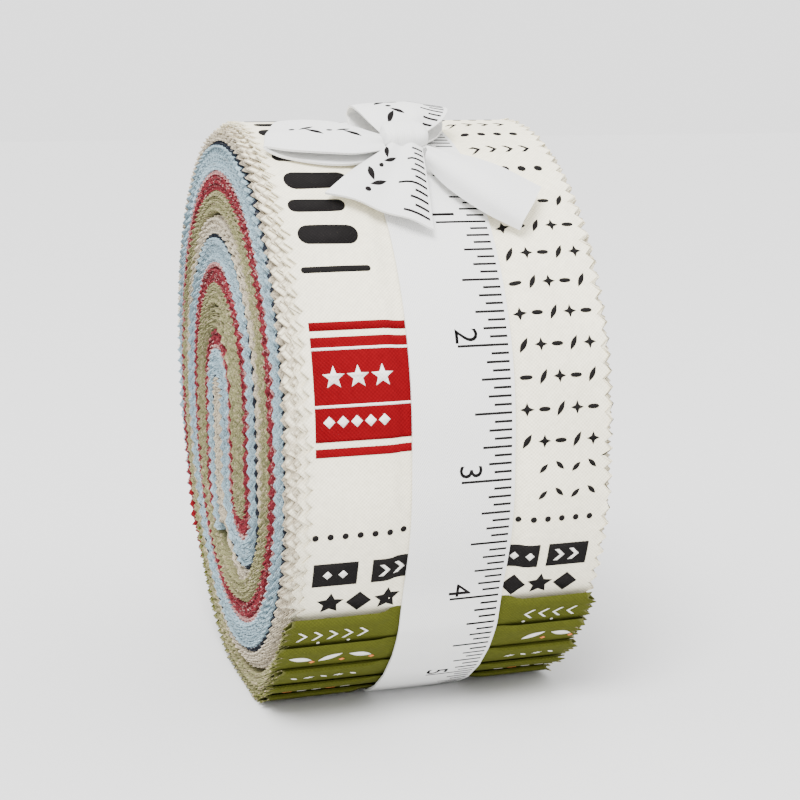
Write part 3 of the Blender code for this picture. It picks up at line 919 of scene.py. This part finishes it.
def cream_print():
    """The printed strip's generic design: bands of plain motifs in black and red on cream."""
    left, edge = PRINT_LEFT, PRINT_RIGHT
    motifs = []
    for k, x in enumerate((-22.8, -17.2, -11.6, 14.0, 19.4, 24.8)):
        shape = regular(7.6, x, 2.5, 4) if k % 2 else star(7.6, x, 2.7, 5, 0.5)
        motifs.append((shape, BLACK, 0))
    for k, (x, wide) in enumerate(((left, 8.6), (-15.4, 8.4), (11.4, 6.6), (19.8, 8.2))):
        motifs.append((box(12.2, x, 17.4, x + wide), BLACK, 0))
        for m in range(int(wide // 3.2)):
            middle = x + wide / 2 + (m - (wide // 3.2 - 1) / 2) * 3.0
            shape = chevron(14.8, middle, 1.3, 0.9, 1) if k % 2 else regular(14.8, middle, 0.9, 4)
            motifs.append((shape, WHITE, 1))
    motifs += [(regular(23.0, x, 0.62, 10), BLACK, 0) for x in clear_of_tie(left, edge, 2.85, 10.5)]
    for row in (28.0, 33.2):
        motifs += [(leaf(row + 0.5 * (k % 2), 17.4 + k * 3.3, 2.4, 0.9, 0.8 - 1.6 * (k % 2)), BLACK, 0)
                   for k in range(4)]
    # the red banner
    motifs.append(([(41.0, left), (41.0, 7.0), (50.5, 1.5), (60.0, 7.0), (60.0, left)], RED, 0))
    motifs.append((box(38.2, left, 39.8, 4.5), RED, 0))
    motifs.append((box(61.2, left, 62.8, 4.5), RED, 0))
    for k in range(3):
        motifs.append((star(52.6, -23.0 + k * 4.6, 2.2, 5, 0.42), WHITE, 1))
    for k in range(5):
        motifs.append((regular(44.6, -24.2 + k * 2.6, 1.1, 4), WHITE, 1))
    motifs.append((box(47.2, left, 47.7, 2.4), WHITE, 1))
    motifs.append((box(57.6, left, 58.1, 4.6), WHITE, 1))
    # light rows of small marks on the right
    for row in range(9):
        t = 38.5 + row * 6.1
        for k in range(5):
            x = 14.2 + k * 3.3
            kind = (row + k) % 3
            if kind == 0:
                motifs.append((leaf(t, x, 3.2, 1.0, 0.5), BLACK, 0))
            elif kind == 1:
                motifs.append((star(t, x, 1.3, 4, 0.42), BLACK, 0))
            else:
                motifs.append((lens_bar(t, x - 1.2, x + 1.2, 0.9), BLACK, 0))
    # broad bars over the top of the roll
    bars = [(73.0, 1.2), (80.5, 4.2), (87.5, 3.0), (94.5, 4.8), (102.5, 3.2), (109.0, 2.2), (114.5, 4.4),
            (121.5, 3.0), (128.0, 1.6)]
    for k, (t, height) in enumerate(bars):
        motifs.append((round_bar(t, left + 0.6 * (k % 2), -13.6 - 1.1 * (k % 3), height), BLACK, 0))
    for row in range(5):
        t = 97.0 + row * 7.6
        for k in range(4):
            x = 15.6 + k * 3.5
            shape = chevron(t, x, 1.3, 0.8, 1) if row % 2 else regular(t, x, 0.9, 8)
            motifs.append((shape, BLACK, 0))
    # behind the top: stripes and dots
    for row in range(9):
        t = 136.0 + row * 6.6
        if row % 3 == 0:
            motifs.append((box(t, left, t + 1.1, -13.4), BLACK, 0))
            motifs.append((box(t, 16.8, t + 1.1, edge), BLACK, 0))
        else:
            motifs += [(regular(t + 0.5, x, 0.9, 10), BLACK, 0)
                       for x in clear_of_tie(left + 1.5 + 2 * (row % 2), edge, 4.0)]
    return motifs


# Tape


def on_crown(row):
    """A place by (millimetres along the roll, degrees, millimetres above the crown)."""
    x, degrees, height = row
    a = math.radians(degrees)
    far = CROWN_RADIUS + height * MM
    return np.array([x * MM, ROLL_BACK - far * math.cos(a), CROWN_CENTRE + far * math.sin(a)])


def spline(points, count):
    """A smooth line of count points through some points, evenly in their numbering."""
    points = np.asarray(points, float)
    before = np.concatenate([[2 * points[0] - points[1]], points[:-1]])
    after = np.concatenate([points[1:], [2 * points[-1] - points[-2]]])
    slopes = (after - before) / 2
    t = np.linspace(0, len(points) - 1, count)
    i = np.minimum(t.astype(int), len(points) - 2)
    f = (t - i)[:, None]
    h00, h10 = 2 * f**3 - 3 * f**2 + 1, f**3 - 2 * f**2 + f
    h01, h11 = -2 * f**3 + 3 * f**2, f**3 - f**2
    shape = (-1,) + (1,) * (points.ndim - 1)
    h00, h10, h01, h11 = (h.reshape(shape) for h in (h00, h10, h01, h11))
    return h00 * points[i] + h10 * slopes[i] + h01 * points[i + 1] + h11 * slopes[i + 1]


def grid_normals(grid):
    """Unit normals of a grid of points."""
    du = np.gradient(grid, axis=0)
    dv = np.gradient(grid, axis=1)
    n = np.cross(dv, du)
    return n / np.maximum(np.linalg.norm(n, axis=2, keepdims=True), 1e-12)


def tape_surface(grid, normals, along, width, half, side):
    """A function from (distance along, distance across, height) to places on a tape's side."""
    rows, cols = grid.shape[:2]

    def place(t, x, lift):
        i = np.interp(t, along, np.arange(rows))
        j = np.clip((x / width + 0.5) * (cols - 1), 0, cols - 1)
        i0 = np.minimum(i.astype(int), rows - 2)
        j0 = np.minimum(j.astype(int), cols - 2)
        fi, fj = (i - i0)[:, None], (j - j0)[:, None]

        def pick(field):
            return ((1 - fi) * (1 - fj) * field[i0, j0] + fi * (1 - fj) * field[i0 + 1, j0]
                    + (1 - fi) * fj * field[i0, j0 + 1] + fi * fj * field[i0 + 1, j0 + 1])

        return pick(grid) + side * pick(normals) * (half + lift)

    return place


TAPE_COLUMNS = 17


class Tape:
    """A stretch of tape as a smooth grid, with its own length and width."""

    def __init__(self, rows, long, wrinkle, seed):
        lines = spline([[on_crown(point) for point in row] for row in rows], long)
        grid = np.stack([spline(line, TAPE_COLUMNS) for line in lines])
        rng = np.random.default_rng(seed)
        v = np.linspace(0, 1, TAPE_COLUMNS)[None, :]
        u = np.linspace(0, 1, long)[:, None]
        fold = np.sin(v * 15 + rng.uniform(0, 6) + 2 * u) * np.exp(-u * 3.0)
        fold = fold + 0.5 * np.sin(v * 9 + u * 7 + rng.uniform(0, 6)) * np.exp(-u * 1.2)
        grid = grid + grid_normals(grid) * (fold * wrinkle)[..., None]
        self.grid = grid
        self.normals = grid_normals(grid)
        middle = grid[:, TAPE_COLUMNS // 2]
        self.along = np.concatenate([[0], np.cumsum(np.linalg.norm(np.diff(middle, axis=0), axis=1))])
        self.length = float(self.along[-1])
        self.area = self.measure()

    def measure(self):
        """The tape's own area, in square metres."""
        a = self.grid[1:, :-1] - self.grid[:-1, :-1]
        b = self.grid[:-1, 1:] - self.grid[:-1, :-1]
        return float(np.linalg.norm(np.cross(a, b), axis=2).sum())

    def uv(self):
        """Places on the flat tape, in metres, for the grid's points."""
        width = bpy.context.scene.tape_sizes.width
        v = np.linspace(-width / 2, width / 2, self.grid.shape[1])
        return np.stack(np.meshgrid(self.along, v, indexing="ij"), -1)

    def make(self, name, material):
        """Makes the tape's piece."""
        heap = Heap()
        thick_grid(heap, self.grid, self.normals, bpy.context.scene.tape_sizes.thickness, self.uv())
        return heap.make(name, [material], sharp=70)

    def surface(self, side):
        """A function from (distance along, distance across, height) to places on one side."""
        sizes = bpy.context.scene.tape_sizes
        return tape_surface(self.grid, self.normals, self.along, sizes.width, sizes.thickness / 2, side)


# The tape's print, in millimetres
INCH = 25.4
# How long a ruler mark is, for each part of an inch it stands at, in sixteenths
TICKS = ((16, 10.0), (8, 7.4), (4, 5.8), (2, 4.6), (1, 3.5))
TICK_STROKE = 0.46
TICK_MARGIN = 0.4
TICK_EDGE = 9.4  # how far from the tape's middle the marks begin
LAST_NUMBER = 14
DIGIT_SIZE = 6.4
DIGIT_SHIFT = 1.9  # a number stands this far beyond its mark
DIGIT_X = 1.0
SPRIG_PITCH = 7.4
SPRIG_X = -6.0
TIE_SPRIGS = (0, 1, 2, 3, 6, 7, 8, 9, 12)  # which places of the tie's row have a sprig, from the knot back
FOUR_INCH_ANGLE = -31.4  # where the fourth inch ends on the front, in degrees
KNOT_MARGIN = 4


def ruler_marks(start, end, edge, first=0.0):
    """Ticks every sixteenth of an inch, as outlines; first is where an inch mark lies."""
    motifs = []
    step = INCH / 16
    ticks = range(math.ceil((start - first) / step), math.floor((end - TICK_MARGIN - first) / step) + 1)
    for k in ticks:
        t = first + k * step
        length = next(size for part, size in TICKS if k % part == 0)
        x0, x1 = sorted((edge, edge - math.copysign(length, edge)))
        motifs.append((box(t - TICK_STROKE / 2, x0, t + TICK_STROKE / 2, x1), BLACK, 0))
    return motifs


def digit_outlines(number, t):
    """A plain printed number as flat faces, lying on its side at a place on the tape."""
    curve = bpy.data.curves.new("digit", "FONT")
    curve.body = str(number)
    curve.size = DIGIT_SIZE
    curve.align_x = "CENTER"
    curve.align_y = "CENTER"
    curve.resolution_u = 3
    holder = bpy.data.objects.new("digit", curve)
    mesh = bpy.data.meshes.new_from_object(holder)
    bpy.data.objects.remove(holder)
    bpy.data.curves.remove(curve)
    out = []
    for face in mesh.polygons:
        ring = []
        for i in face.vertices:
            p, q = mesh.vertices[i].co[:2]
            ring.append((t - p, DIGIT_X + q))
        out.append((ring, BLACK, 0))
    bpy.data.meshes.remove(mesh)
    return out


# The bow's tapes, one row after another along each: points from edge to edge, each (mm, degrees,
# mm above the crown). The loops go out and fold back beneath themselves.
KNOT_PLACE = (-0.6, 64.2, 3.9)
KNOT_SIZE = (9.0, 6.4, 4.8)
LOOP_LEFT = [
    [(-5.0, 61.6, 2.2), (-4.8, 63.6, 3.6), (-4.6, 65.8, 2.8)],
    [(-11.3, 59.6, 2.7), (-10.8, 65.0, 3.8), (-10.0, 71.0, 3.0)],
    [(-17.5, 59.9, 2.9), (-16.8, 66.5, 3.4), (-15.2, 74.0, 2.8)],
    [(-24.0, 61.4, 2.6), (-22.6, 67.6, 3.0), (-20.2, 75.0, 2.5)],
    [(-28.2, 64.2, 1.7), (-26.6, 69.4, 1.9), (-23.6, 75.6, 1.8)],
    [(-25.2, 61.9, 0.9), (-22.6, 67.6, 0.9), (-20.0, 75.0, 0.9)],
    [(-17.5, 59.2, 0.9), (-16.8, 66.0, 0.9), (-15.0, 73.5, 0.9)],
    [(-10.8, 59.2, 0.9), (-10.8, 64.6, 1.0), (-10.0, 70.8, 0.9)],
    [(-5.0, 62.0, 0.9), (-4.8, 63.6, 1.0), (-4.6, 65.6, 0.9)],
]
LOOP_BACK = [
    [(-4.4, 65.6, 3.4), (0.4, 66.0, 4.8), (4.4, 65.8, 3.6)],
    [(-6.4, 68.6, 4.6), (1.4, 68.8, 6.4), (8.2, 68.2, 4.8)],
    [(-7.8, 72.6, 5.4), (2.0, 73.0, 6.4), (10.8, 72.0, 5.2)],
    [(-8.0, 77.0, 4.8), (2.2, 77.8, 5.2), (11.8, 76.4, 4.4)],
    [(-7.8, 79.6, 2.6), (2.2, 80.4, 2.7), (12.2, 79.0, 2.5)],
    [(-7.8, 77.4, 0.9), (2.2, 78.0, 0.9), (11.8, 76.6, 0.9)],
    [(-7.6, 73.0, 0.8), (1.6, 73.2, 0.8), (10.2, 72.6, 0.8)],
    [(-6.0, 69.0, 0.9), (1.0, 69.2, 0.9), (7.6, 68.8, 0.9)],
    [(-3.6, 66.0, 1.0), (0.4, 66.2, 1.0), (4.0, 66.0, 1.0)],
]
TAIL_LEFT = [
    [(-3.8, 62.8, 2.6), (-2.4, 62.7, 4.0), (-0.8, 62.6, 3.4), (0.8, 62.6, 4.2), (2.6, 62.8, 2.8)],
    [(-8.4, 59.4, 2.0), (-6.0, 58.6, 3.6), (-3.4, 57.8, 2.4), (-1.0, 57.2, 3.8), (1.6, 57.2, 2.3)],
    [(-13.8, 55.0, 1.7), (-10.2, 53.4, 3.2), (-6.4, 51.8, 2.0), (-2.8, 50.4, 3.4), (0.6, 49.6, 1.9)],
    [(-19.6, 49.8, 1.6), (-14.6, 47.2, 2.6), (-9.6, 44.6, 1.9), (-4.8, 42.2, 2.7), (-0.6, 40.3, 1.7)],
]
TAIL_RIGHT = [
    [(2.2, 57.4, 1.6), (2.4, 58.2, 3.4), (2.6, 59.2, 4.0), (2.7, 60.2, 3.8), (2.6, 61.2, 3.0)],
    [(5.0, 50.6, 1.5), (5.4, 51.8, 4.2), (6.2, 54.0, 5.0), (6.8, 56.0, 4.8), (7.2, 57.6, 4.2)],
    [(10.4, 44.4, 1.5), (10.9, 45.6, 4.2), (12.4, 48.6, 5.2), (13.6, 51.4, 4.8), (14.8, 53.6, 4.2)],
    [(16.7, 39.8, 1.6), (17.2, 40.8, 3.4), (19.2, 43.2, 4.2), (21.2, 46.0, 3.8), (23.0, 48.6, 3.0)],
]


def tape_sprigs(start, count, x):
    """A plain row of sprigs and dots along the tape."""
    motifs = []
    for k in range(count):
        t = start + k * SPRIG_PITCH
        motifs.append((leaf(t + 1.2, x - 0.9, 4.4, 1.3, 0.7), BLACK, 0))
        motifs.append((leaf(t + 2.8, x + 1.6, 4.0, 1.1, -0.8), BLACK, 0))
        motifs.append((regular(t + 5.6, x + 0.2, 0.6, 8), BLACK, 0))
    return motifs


def ink_material(ink):
    """One of the print's inks, in the colour that the panel holds."""
    return face_cotton_material(f"{ink}_print", tuple(getattr(bpy.context.scene.print_colours, ink)))


# The stage: a pale floor, a bright world, a wide sun and two area lights
FLOOR_HALF = 3.0
FLOOR_POINTS = 40
FLOOR_GREY = 0.66
WORLD_LIGHT = 2.1
SUN_POWER = 4.5
SUN_SPREAD = 30
SUN_TURN = (28, -18, 0)
LAMPS = [
    ("key", (-0.35, -0.50, 0.90), 0.4, 8.0),
    ("fill", (0.9, -0.6, 0.35), 0.8, 1.0),
]

# The camera: angles in degrees, the lens and the sensor in millimetres
CAMERA_YAW = 17.46
CAMERA_PITCH = 11.06
CAMERA_FAR = 361.4 * MM
CAMERA_AIM = (6.93 * MM, ROLL_BACK, ROLL_CENTRE - 1.39 * MM)
CAMERA_LENS = 74.6
CAMERA_SENSOR = 36


class STRIPROLL_OT_stage(bpy.types.Operator):
    """Adds the pale floor, the soft lights and the camera"""

    bl_idname = "striproll.stage"
    bl_label = "Stage"

    def execute(self, context):
        scene = context.scene
        nodes = Nodes("floor_paper")
        nodes.shader.inputs["Base Color"].default_value = (FLOOR_GREY, FLOOR_GREY, FLOOR_GREY, 1)
        nodes.shader.inputs["Roughness"].default_value = 0.9
        n = FLOOR_POINTS
        t = np.linspace(-1, 1, n) * FLOOR_HALF
        grid = np.stack(np.meshgrid(t, t, [0.0], indexing="ij"), -1)
        i, j = np.meshgrid(np.arange(n - 1), np.arange(n - 1), indexing="ij")
        a = i * n + j
        heap = Heap()
        heap.add(grid, np.stack([a, a + n, a + n + 1, a + 1], -1).reshape(-1, 4))
        heap.make("floor", [nodes.material])

        world = bpy.data.worlds.new("studio")
        world.use_nodes = True
        world.node_tree.nodes["Background"].inputs[0].default_value = (1, 1, 1, 1)
        world.node_tree.nodes["Background"].inputs[1].default_value = WORLD_LIGHT
        scene.world = world
        sun = bpy.data.lights.new("sun", "SUN")
        sun.energy = SUN_POWER
        sun.angle = math.radians(SUN_SPREAD)
        sky = bpy.data.objects.new("sun", sun)
        sky.rotation_euler = [math.radians(turn) for turn in SUN_TURN]
        scene.collection.objects.link(sky)
        for name, place, size, power in LAMPS:
            lamp = bpy.data.lights.new(name, "AREA")
            lamp.size = size
            lamp.energy = power
            item = bpy.data.objects.new(name, lamp)
            item.location = place
            aim = np.array([0, 0, ROLL_CENTRE]) - np.array(place)
            flat = math.hypot(aim[0], aim[1])
            item.rotation_euler = (math.atan2(flat, -aim[2]), 0, math.atan2(-aim[0], aim[1]))
            scene.collection.objects.link(item)

        camera = bpy.data.cameras.new("camera")
        camera.sensor_width = CAMERA_SENSOR
        camera.lens = CAMERA_LENS
        camera.clip_start = 0.01
        camera.clip_end = 20
        yaw, pitch = math.radians(CAMERA_YAW), math.radians(CAMERA_PITCH)
        eye = bpy.data.objects.new("camera", camera)
        eye.location = (
            CAMERA_AIM[0] - CAMERA_FAR * math.sin(yaw) * math.cos(pitch),
            CAMERA_AIM[1] - CAMERA_FAR * math.cos(yaw) * math.cos(pitch),
            CAMERA_AIM[2] + CAMERA_FAR * math.sin(pitch),
        )
        eye.rotation_euler = (math.pi / 2 - pitch, 0, -yaw)
        scene.collection.objects.link(eye)
        scene.camera = eye
        return {"FINISHED"}


STRIP_SEED = 7
PRINT_END = 4  # how far short of the strip's own end the print stops, in millimetres


class STRIPROLL_OT_strips(bpy.types.Operator):
    """Winds the forty folded strips"""

    bl_idname = "striproll.strips"
    bl_label = "Wound strips"

    def execute(self, context):
        rng = np.random.default_rng(STRIP_SEED)
        face = face_cotton_material("cotton_face")
        bottom = WINDING.last_start
        first = 0
        for name, count, _, _, speck, amount in STACK:
            edge = cotton_material(f"{name}_cotton", speck, amount)
            heap = Heap()
            for strip in range(first, first + count):
                if name == "green":
                    for layer in (2 * strip, 2 * strip + 1):
                        start, _, offset = WINDING.layer(layer)
                        part = slice(start, bottom + 1)
                        line = WINDING.place[part] + WINDING.outward[part] * offset[part, None]
                        add_cloth(heap, strip, line, WINDING.along[part], rng)
                    add_cloth(heap, strip, *strip_line(strip, bottom), rng)
                else:
                    add_cloth(heap, strip, *strip_line(strip), rng)
            first += count
            piece = heap.make(f"{name}_strips", [edge, face])
            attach(piece, BODY)
            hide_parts("roll")
        return {"FINISHED"}


class STRIPROLL_OT_prints(bpy.types.Operator):
    """Prints the outer strips with plain motifs"""

    bl_idname = "striproll.prints"
    bl_label = "Prints"

    def execute(self, context):
        points, ways, along = outer_line()
        limit = along[-1] / MM - PRINT_END
        motifs = [m for m in cream_print() if max(p[0] for p in m[0]) < limit]
        inks = [ink_material(ink) for ink in INK_NAMES]
        columns = GROOVE_COLUMNS / MM
        place = outer_surface(points, ways, along)
        pieces = [print_motifs("cream_print", motifs, place, inks, 0.0, columns)]
        for pair in range(GREEN_STEPS):
            place = end_surface(STRIPS_PER_STEP * pair + 1)
            pieces.append(print_motifs(f"green_print_{pair}", green_print(pair), place, inks, 0.0, columns))
        for piece in pieces:
            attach(piece, BODY)
            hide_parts("roll")
        return {"FINISHED"}


TIE_ROUND, TIE_ACROSS = 360, 15


class STRIPROLL_OT_band(bpy.types.Operator):
    """Ties the tape round the roll"""

    bl_idname = "striproll.band"
    bl_label = "Tie"

    def execute(self, context):
        sizes = context.scene.tape_sizes
        angle = np.linspace(-math.pi / 2, 1.5 * math.pi, TIE_ROUND, endpoint=False)
        far = TAUT.radius(angle) - tie_press(angle) + TIE_TOP - sizes.thickness / 2
        v = np.linspace(-0.5, 0.5, TIE_ACROSS)
        x = TAPE_X + v * sizes.width
        crown = TIE_CROWN * (1 - (2 * v) ** 2)
        r = far[:, None] + crown[None, :]
        y = ROLL_BACK - r * np.cos(angle)[:, None]
        z = np.maximum(r * np.sin(angle)[:, None] + ROLL_CENTRE, sizes.thickness / 2 + TIE_CLEARANCE)
        grid = np.stack([np.broadcast_to(x, r.shape), y, z], -1)
        normals = np.stack([np.zeros_like(r), -np.cos(angle)[:, None] + 0 * r,
                            np.sin(angle)[:, None] + 0 * r], -1)
        middle = TIE_ACROSS // 2
        steps = np.linalg.norm(np.diff(grid[:, middle], axis=0, append=grid[:1, middle]), axis=1)
        along = np.concatenate([[0], np.cumsum(steps)])
        uv = np.stack(np.meshgrid(along[:-1], v * sizes.width, indexing="ij"), -1)
        heap = Heap()
        thick_grid(heap, grid, normals, sizes.thickness, uv, closed=True)
        tape = tape_material("twill_tape", tuple(sizes.colour))
        piece = heap.make("tie_band", [tape], sharp=70)
        loop = float(along[-1])
        ring, ways = np.concatenate([grid, grid[:1]]), np.concatenate([normals, normals[:1]])
        flat = tape_surface(ring, ways, along, sizes.width, sizes.thickness / 2, 1)

        def place(t, x, lift):
            return flat(t % loop, x, lift)

        # the numbers grow from under the knot down the front and round to the knot's back
        four = float(np.interp(math.radians(FOUR_INCH_ANGLE), angle, along[:-1]) + loop) / MM
        knot = float(np.interp(math.radians(KNOT_PLACE[1]), angle, along[:-1])) / MM
        start, end = knot + KNOT_MARGIN, knot + loop / MM - KNOT_MARGIN
        motifs = ruler_marks(start, end, TICK_EDGE, four)
        for number in range(1, LAST_NUMBER + 1):
            t = four + (4 - number) * INCH + DIGIT_SHIFT
            if start < t < end:
                motifs += digit_outlines(number, t)
        for k in TIE_SPRIGS:
            motifs += tape_sprigs(start + SPRIG_PITCH * k, 1, SPRIG_X)
        columns = v * sizes.width / MM
        marks = print_motifs("tie_marks", motifs, place, [ink_material("black")], 0.0, columns)
        for item in (piece, marks):
            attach(item, BODY)
            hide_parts("ribbon_band")
        return {"FINISHED"}


# The tapes of the bow: piece, node, rows, points along, wrinkle in mm, how it is held, seed,
# where its print runs in mm, the edge its ruler marks stand at (0 for none) and the printed side
BOW_TAPES = [
    ("bow_loop_left", "loop_left", LOOP_LEFT, 120, 0.22, "folded", 3, (4, 22), 0, 1),
    ("bow_loop_back", "loop_back", LOOP_BACK, 120, 0.22, "folded", 5, (1, 17), 9.2, 1),
    ("bow_tail_left", "tail_left", TAIL_LEFT, 70, 0.20, "draped", 8, (3, 28), 9.4, -1),
    ("bow_tail_right", "tail_right", TAIL_RIGHT, 70, 0.15, "draped", 11, (3, 28), -9.4, 1),
]
BOW_INK_LIFT = 0.04 * MM
KNOT_ROUND, KNOT_ACROSS = 72, 25
KNOT_SQUARE = 0.8  # below 1 the knot's section is fuller than an ellipse
KNOT_CREASES = ((0.28, 0.07, 1.0), (-0.42, 0.06, 0.7))  # place, width and depth, as shares
KNOT_HOLLOW = 0.6 * MM


def knot_piece(tape):
    """The wrap in the middle of the bow, with soft lengthwise creases."""
    centre = on_crown(KNOT_PLACE)
    tilt = math.radians(KNOT_PLACE[1] - 90)
    half = np.array(KNOT_SIZE) * MM / 2
    a = np.linspace(0, 2 * math.pi, KNOT_ROUND, endpoint=False)[:, None]
    v = np.linspace(-1, 1, KNOT_ACROSS)[None, :]
    belly = 1 - np.abs(v) ** 5 * 0.34
    pinch = sum(deep * np.exp(-((v - at) / wide) ** 2) for at, wide, deep in KNOT_CREASES)
    r = belly * (1 - 0.07 * pinch + 0.02 * np.sin(v * 9))
    x = half[0] * (v + 0.04 * np.sin(v * 5)) + 0 * a
    y = half[1] * r * np.sign(np.cos(a)) * np.abs(np.cos(a)) ** KNOT_SQUARE
    z = half[2] * r * np.sign(np.sin(a)) * np.abs(np.sin(a)) ** KNOT_SQUARE
    yy = y * math.cos(tilt) + z * math.sin(tilt)
    zz = -y * math.sin(tilt) + z * math.cos(tilt)
    grid = np.stack([centre[0] + x, centre[1] + yy, centre[2] + zz], -1)
    verts = list(grid.reshape(-1, 3))
    faces = []
    for i in range(KNOT_ROUND):
        n = (i + 1) % KNOT_ROUND
        for j in range(KNOT_ACROSS - 1):
            faces.append([k * KNOT_ACROSS + m for k, m in ((i, j), (n, j), (n, j + 1), (i, j + 1))])
    for j, way in ((0, 1), (KNOT_ACROSS - 1, -1)):
        middle = len(verts)
        verts.append(grid[:, j].mean(0) - np.array([KNOT_HOLLOW * way, 0, 0]))
        for i in range(KNOT_ROUND):
            n = (i + 1) % KNOT_ROUND
            faces.append([i * KNOT_ACROSS + j, middle, n * KNOT_ACROSS + j][::way])
    uv = np.stack([grid[..., 1], grid[..., 0]], -1).reshape(-1, 2)
    uv = np.concatenate([uv, np.zeros((2, 2))])
    mesh = bpy.data.meshes.new("bow_knot")
    mesh.from_pydata([tuple(p) for p in verts], [], faces)
    layer = mesh.uv_layers.new(name="UVMap")
    layer.data.foreach_set("uv", uv[[i for face in faces for i in face]].astype(np.float32).ravel())
    mesh.materials.append(tape)
    mesh.shade_smooth()
    item = bpy.data.objects.new("bow_knot", mesh)
    bpy.context.scene.collection.objects.link(item)
    return item


class STRIPROLL_OT_bow(bpy.types.Operator):
    """Ties the bow: two loops, two tails and the knot"""

    bl_idname = "striproll.bow"
    bl_label = "Bow"

    def execute(self, context):
        sizes = context.scene.tape_sizes
        tape = tape_material("bow_tape", tuple(sizes.colour))
        ink = ink_material("black")
        columns = np.linspace(-0.5, 0.5, TAPE_COLUMNS) * sizes.width / MM
        for name, node, rows, long, wrinkle, held, seed, span, edge, side in BOW_TAPES:
            stretch = Tape(rows, long, wrinkle * MM, seed)
            piece = stretch.make(name, tape)
            end = min(span[1], stretch.length / MM)
            motifs = ruler_marks(span[0], end, edge) if edge else []
            start = span[0] + 1
            count = int((end - start) / SPRIG_PITCH)
            motifs += tape_sprigs(start, count, -4.0 if edge else 1.0)
            place = stretch.surface(side)
            marks = print_motifs(f"{name}_marks", motifs, place, [ink], BOW_INK_LIFT, columns, BOW_CUT)
            for item in (piece, marks):
                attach(item, BODY)
                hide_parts(node)
        knot = knot_piece(tape)
        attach(knot, BODY)
        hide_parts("knot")
        return {"FINISHED"}


class STRIPROLL_PT_panel(bpy.types.Panel):
    """Lists the steps that build the roll"""

    bl_idname = "STRIPROLL_PT_panel"
    bl_label = "Strip Roll"
    bl_space_type = "VIEW_3D"
    bl_region_type = "UI"
    bl_category = "Strip Roll"

    def draw(self, context):
        for group, cls in GROUPS.items():
            for key in cls.__annotations__:
                self.layout.prop(getattr(context.scene, group), key)
        for operator in OPERATORS:
            self.layout.operator(operator.bl_idname)


OPERATORS = (
    STRIPROLL_OT_stage,
    STRIPROLL_OT_strips,
    STRIPROLL_OT_prints,
    STRIPROLL_OT_band,
    STRIPROLL_OT_bow,
)
GROUPS = {"strip_sizes": StripSizes, "tape_sizes": TapeSizes, "print_colours": PrintColours}


def register():
    """Adds the classes, and the groups of sizes to the scene."""
    for cls in (*GROUPS.values(), *OPERATORS, STRIPROLL_PT_panel):
        bpy.utils.register_class(cls)
    for key, cls in GROUPS.items():
        setattr(bpy.types.Scene, key, bpy.props.PointerProperty(type=cls))


def unregister():
    """Takes them away again."""
    for key in GROUPS:
        delattr(bpy.types.Scene, key)
    for cls in (STRIPROLL_PT_panel, *OPERATORS[::-1], *GROUPS.values()):
        bpy.utils.unregister_class(cls)


def main():
    """Builds every piece in order."""
    register()
    bpy.ops.striproll.stage()
    bpy.ops.striproll.strips()
    bpy.ops.striproll.prints()
    bpy.ops.striproll.band()
    bpy.ops.striproll.bow()


if __name__ == "__main__":
    main()
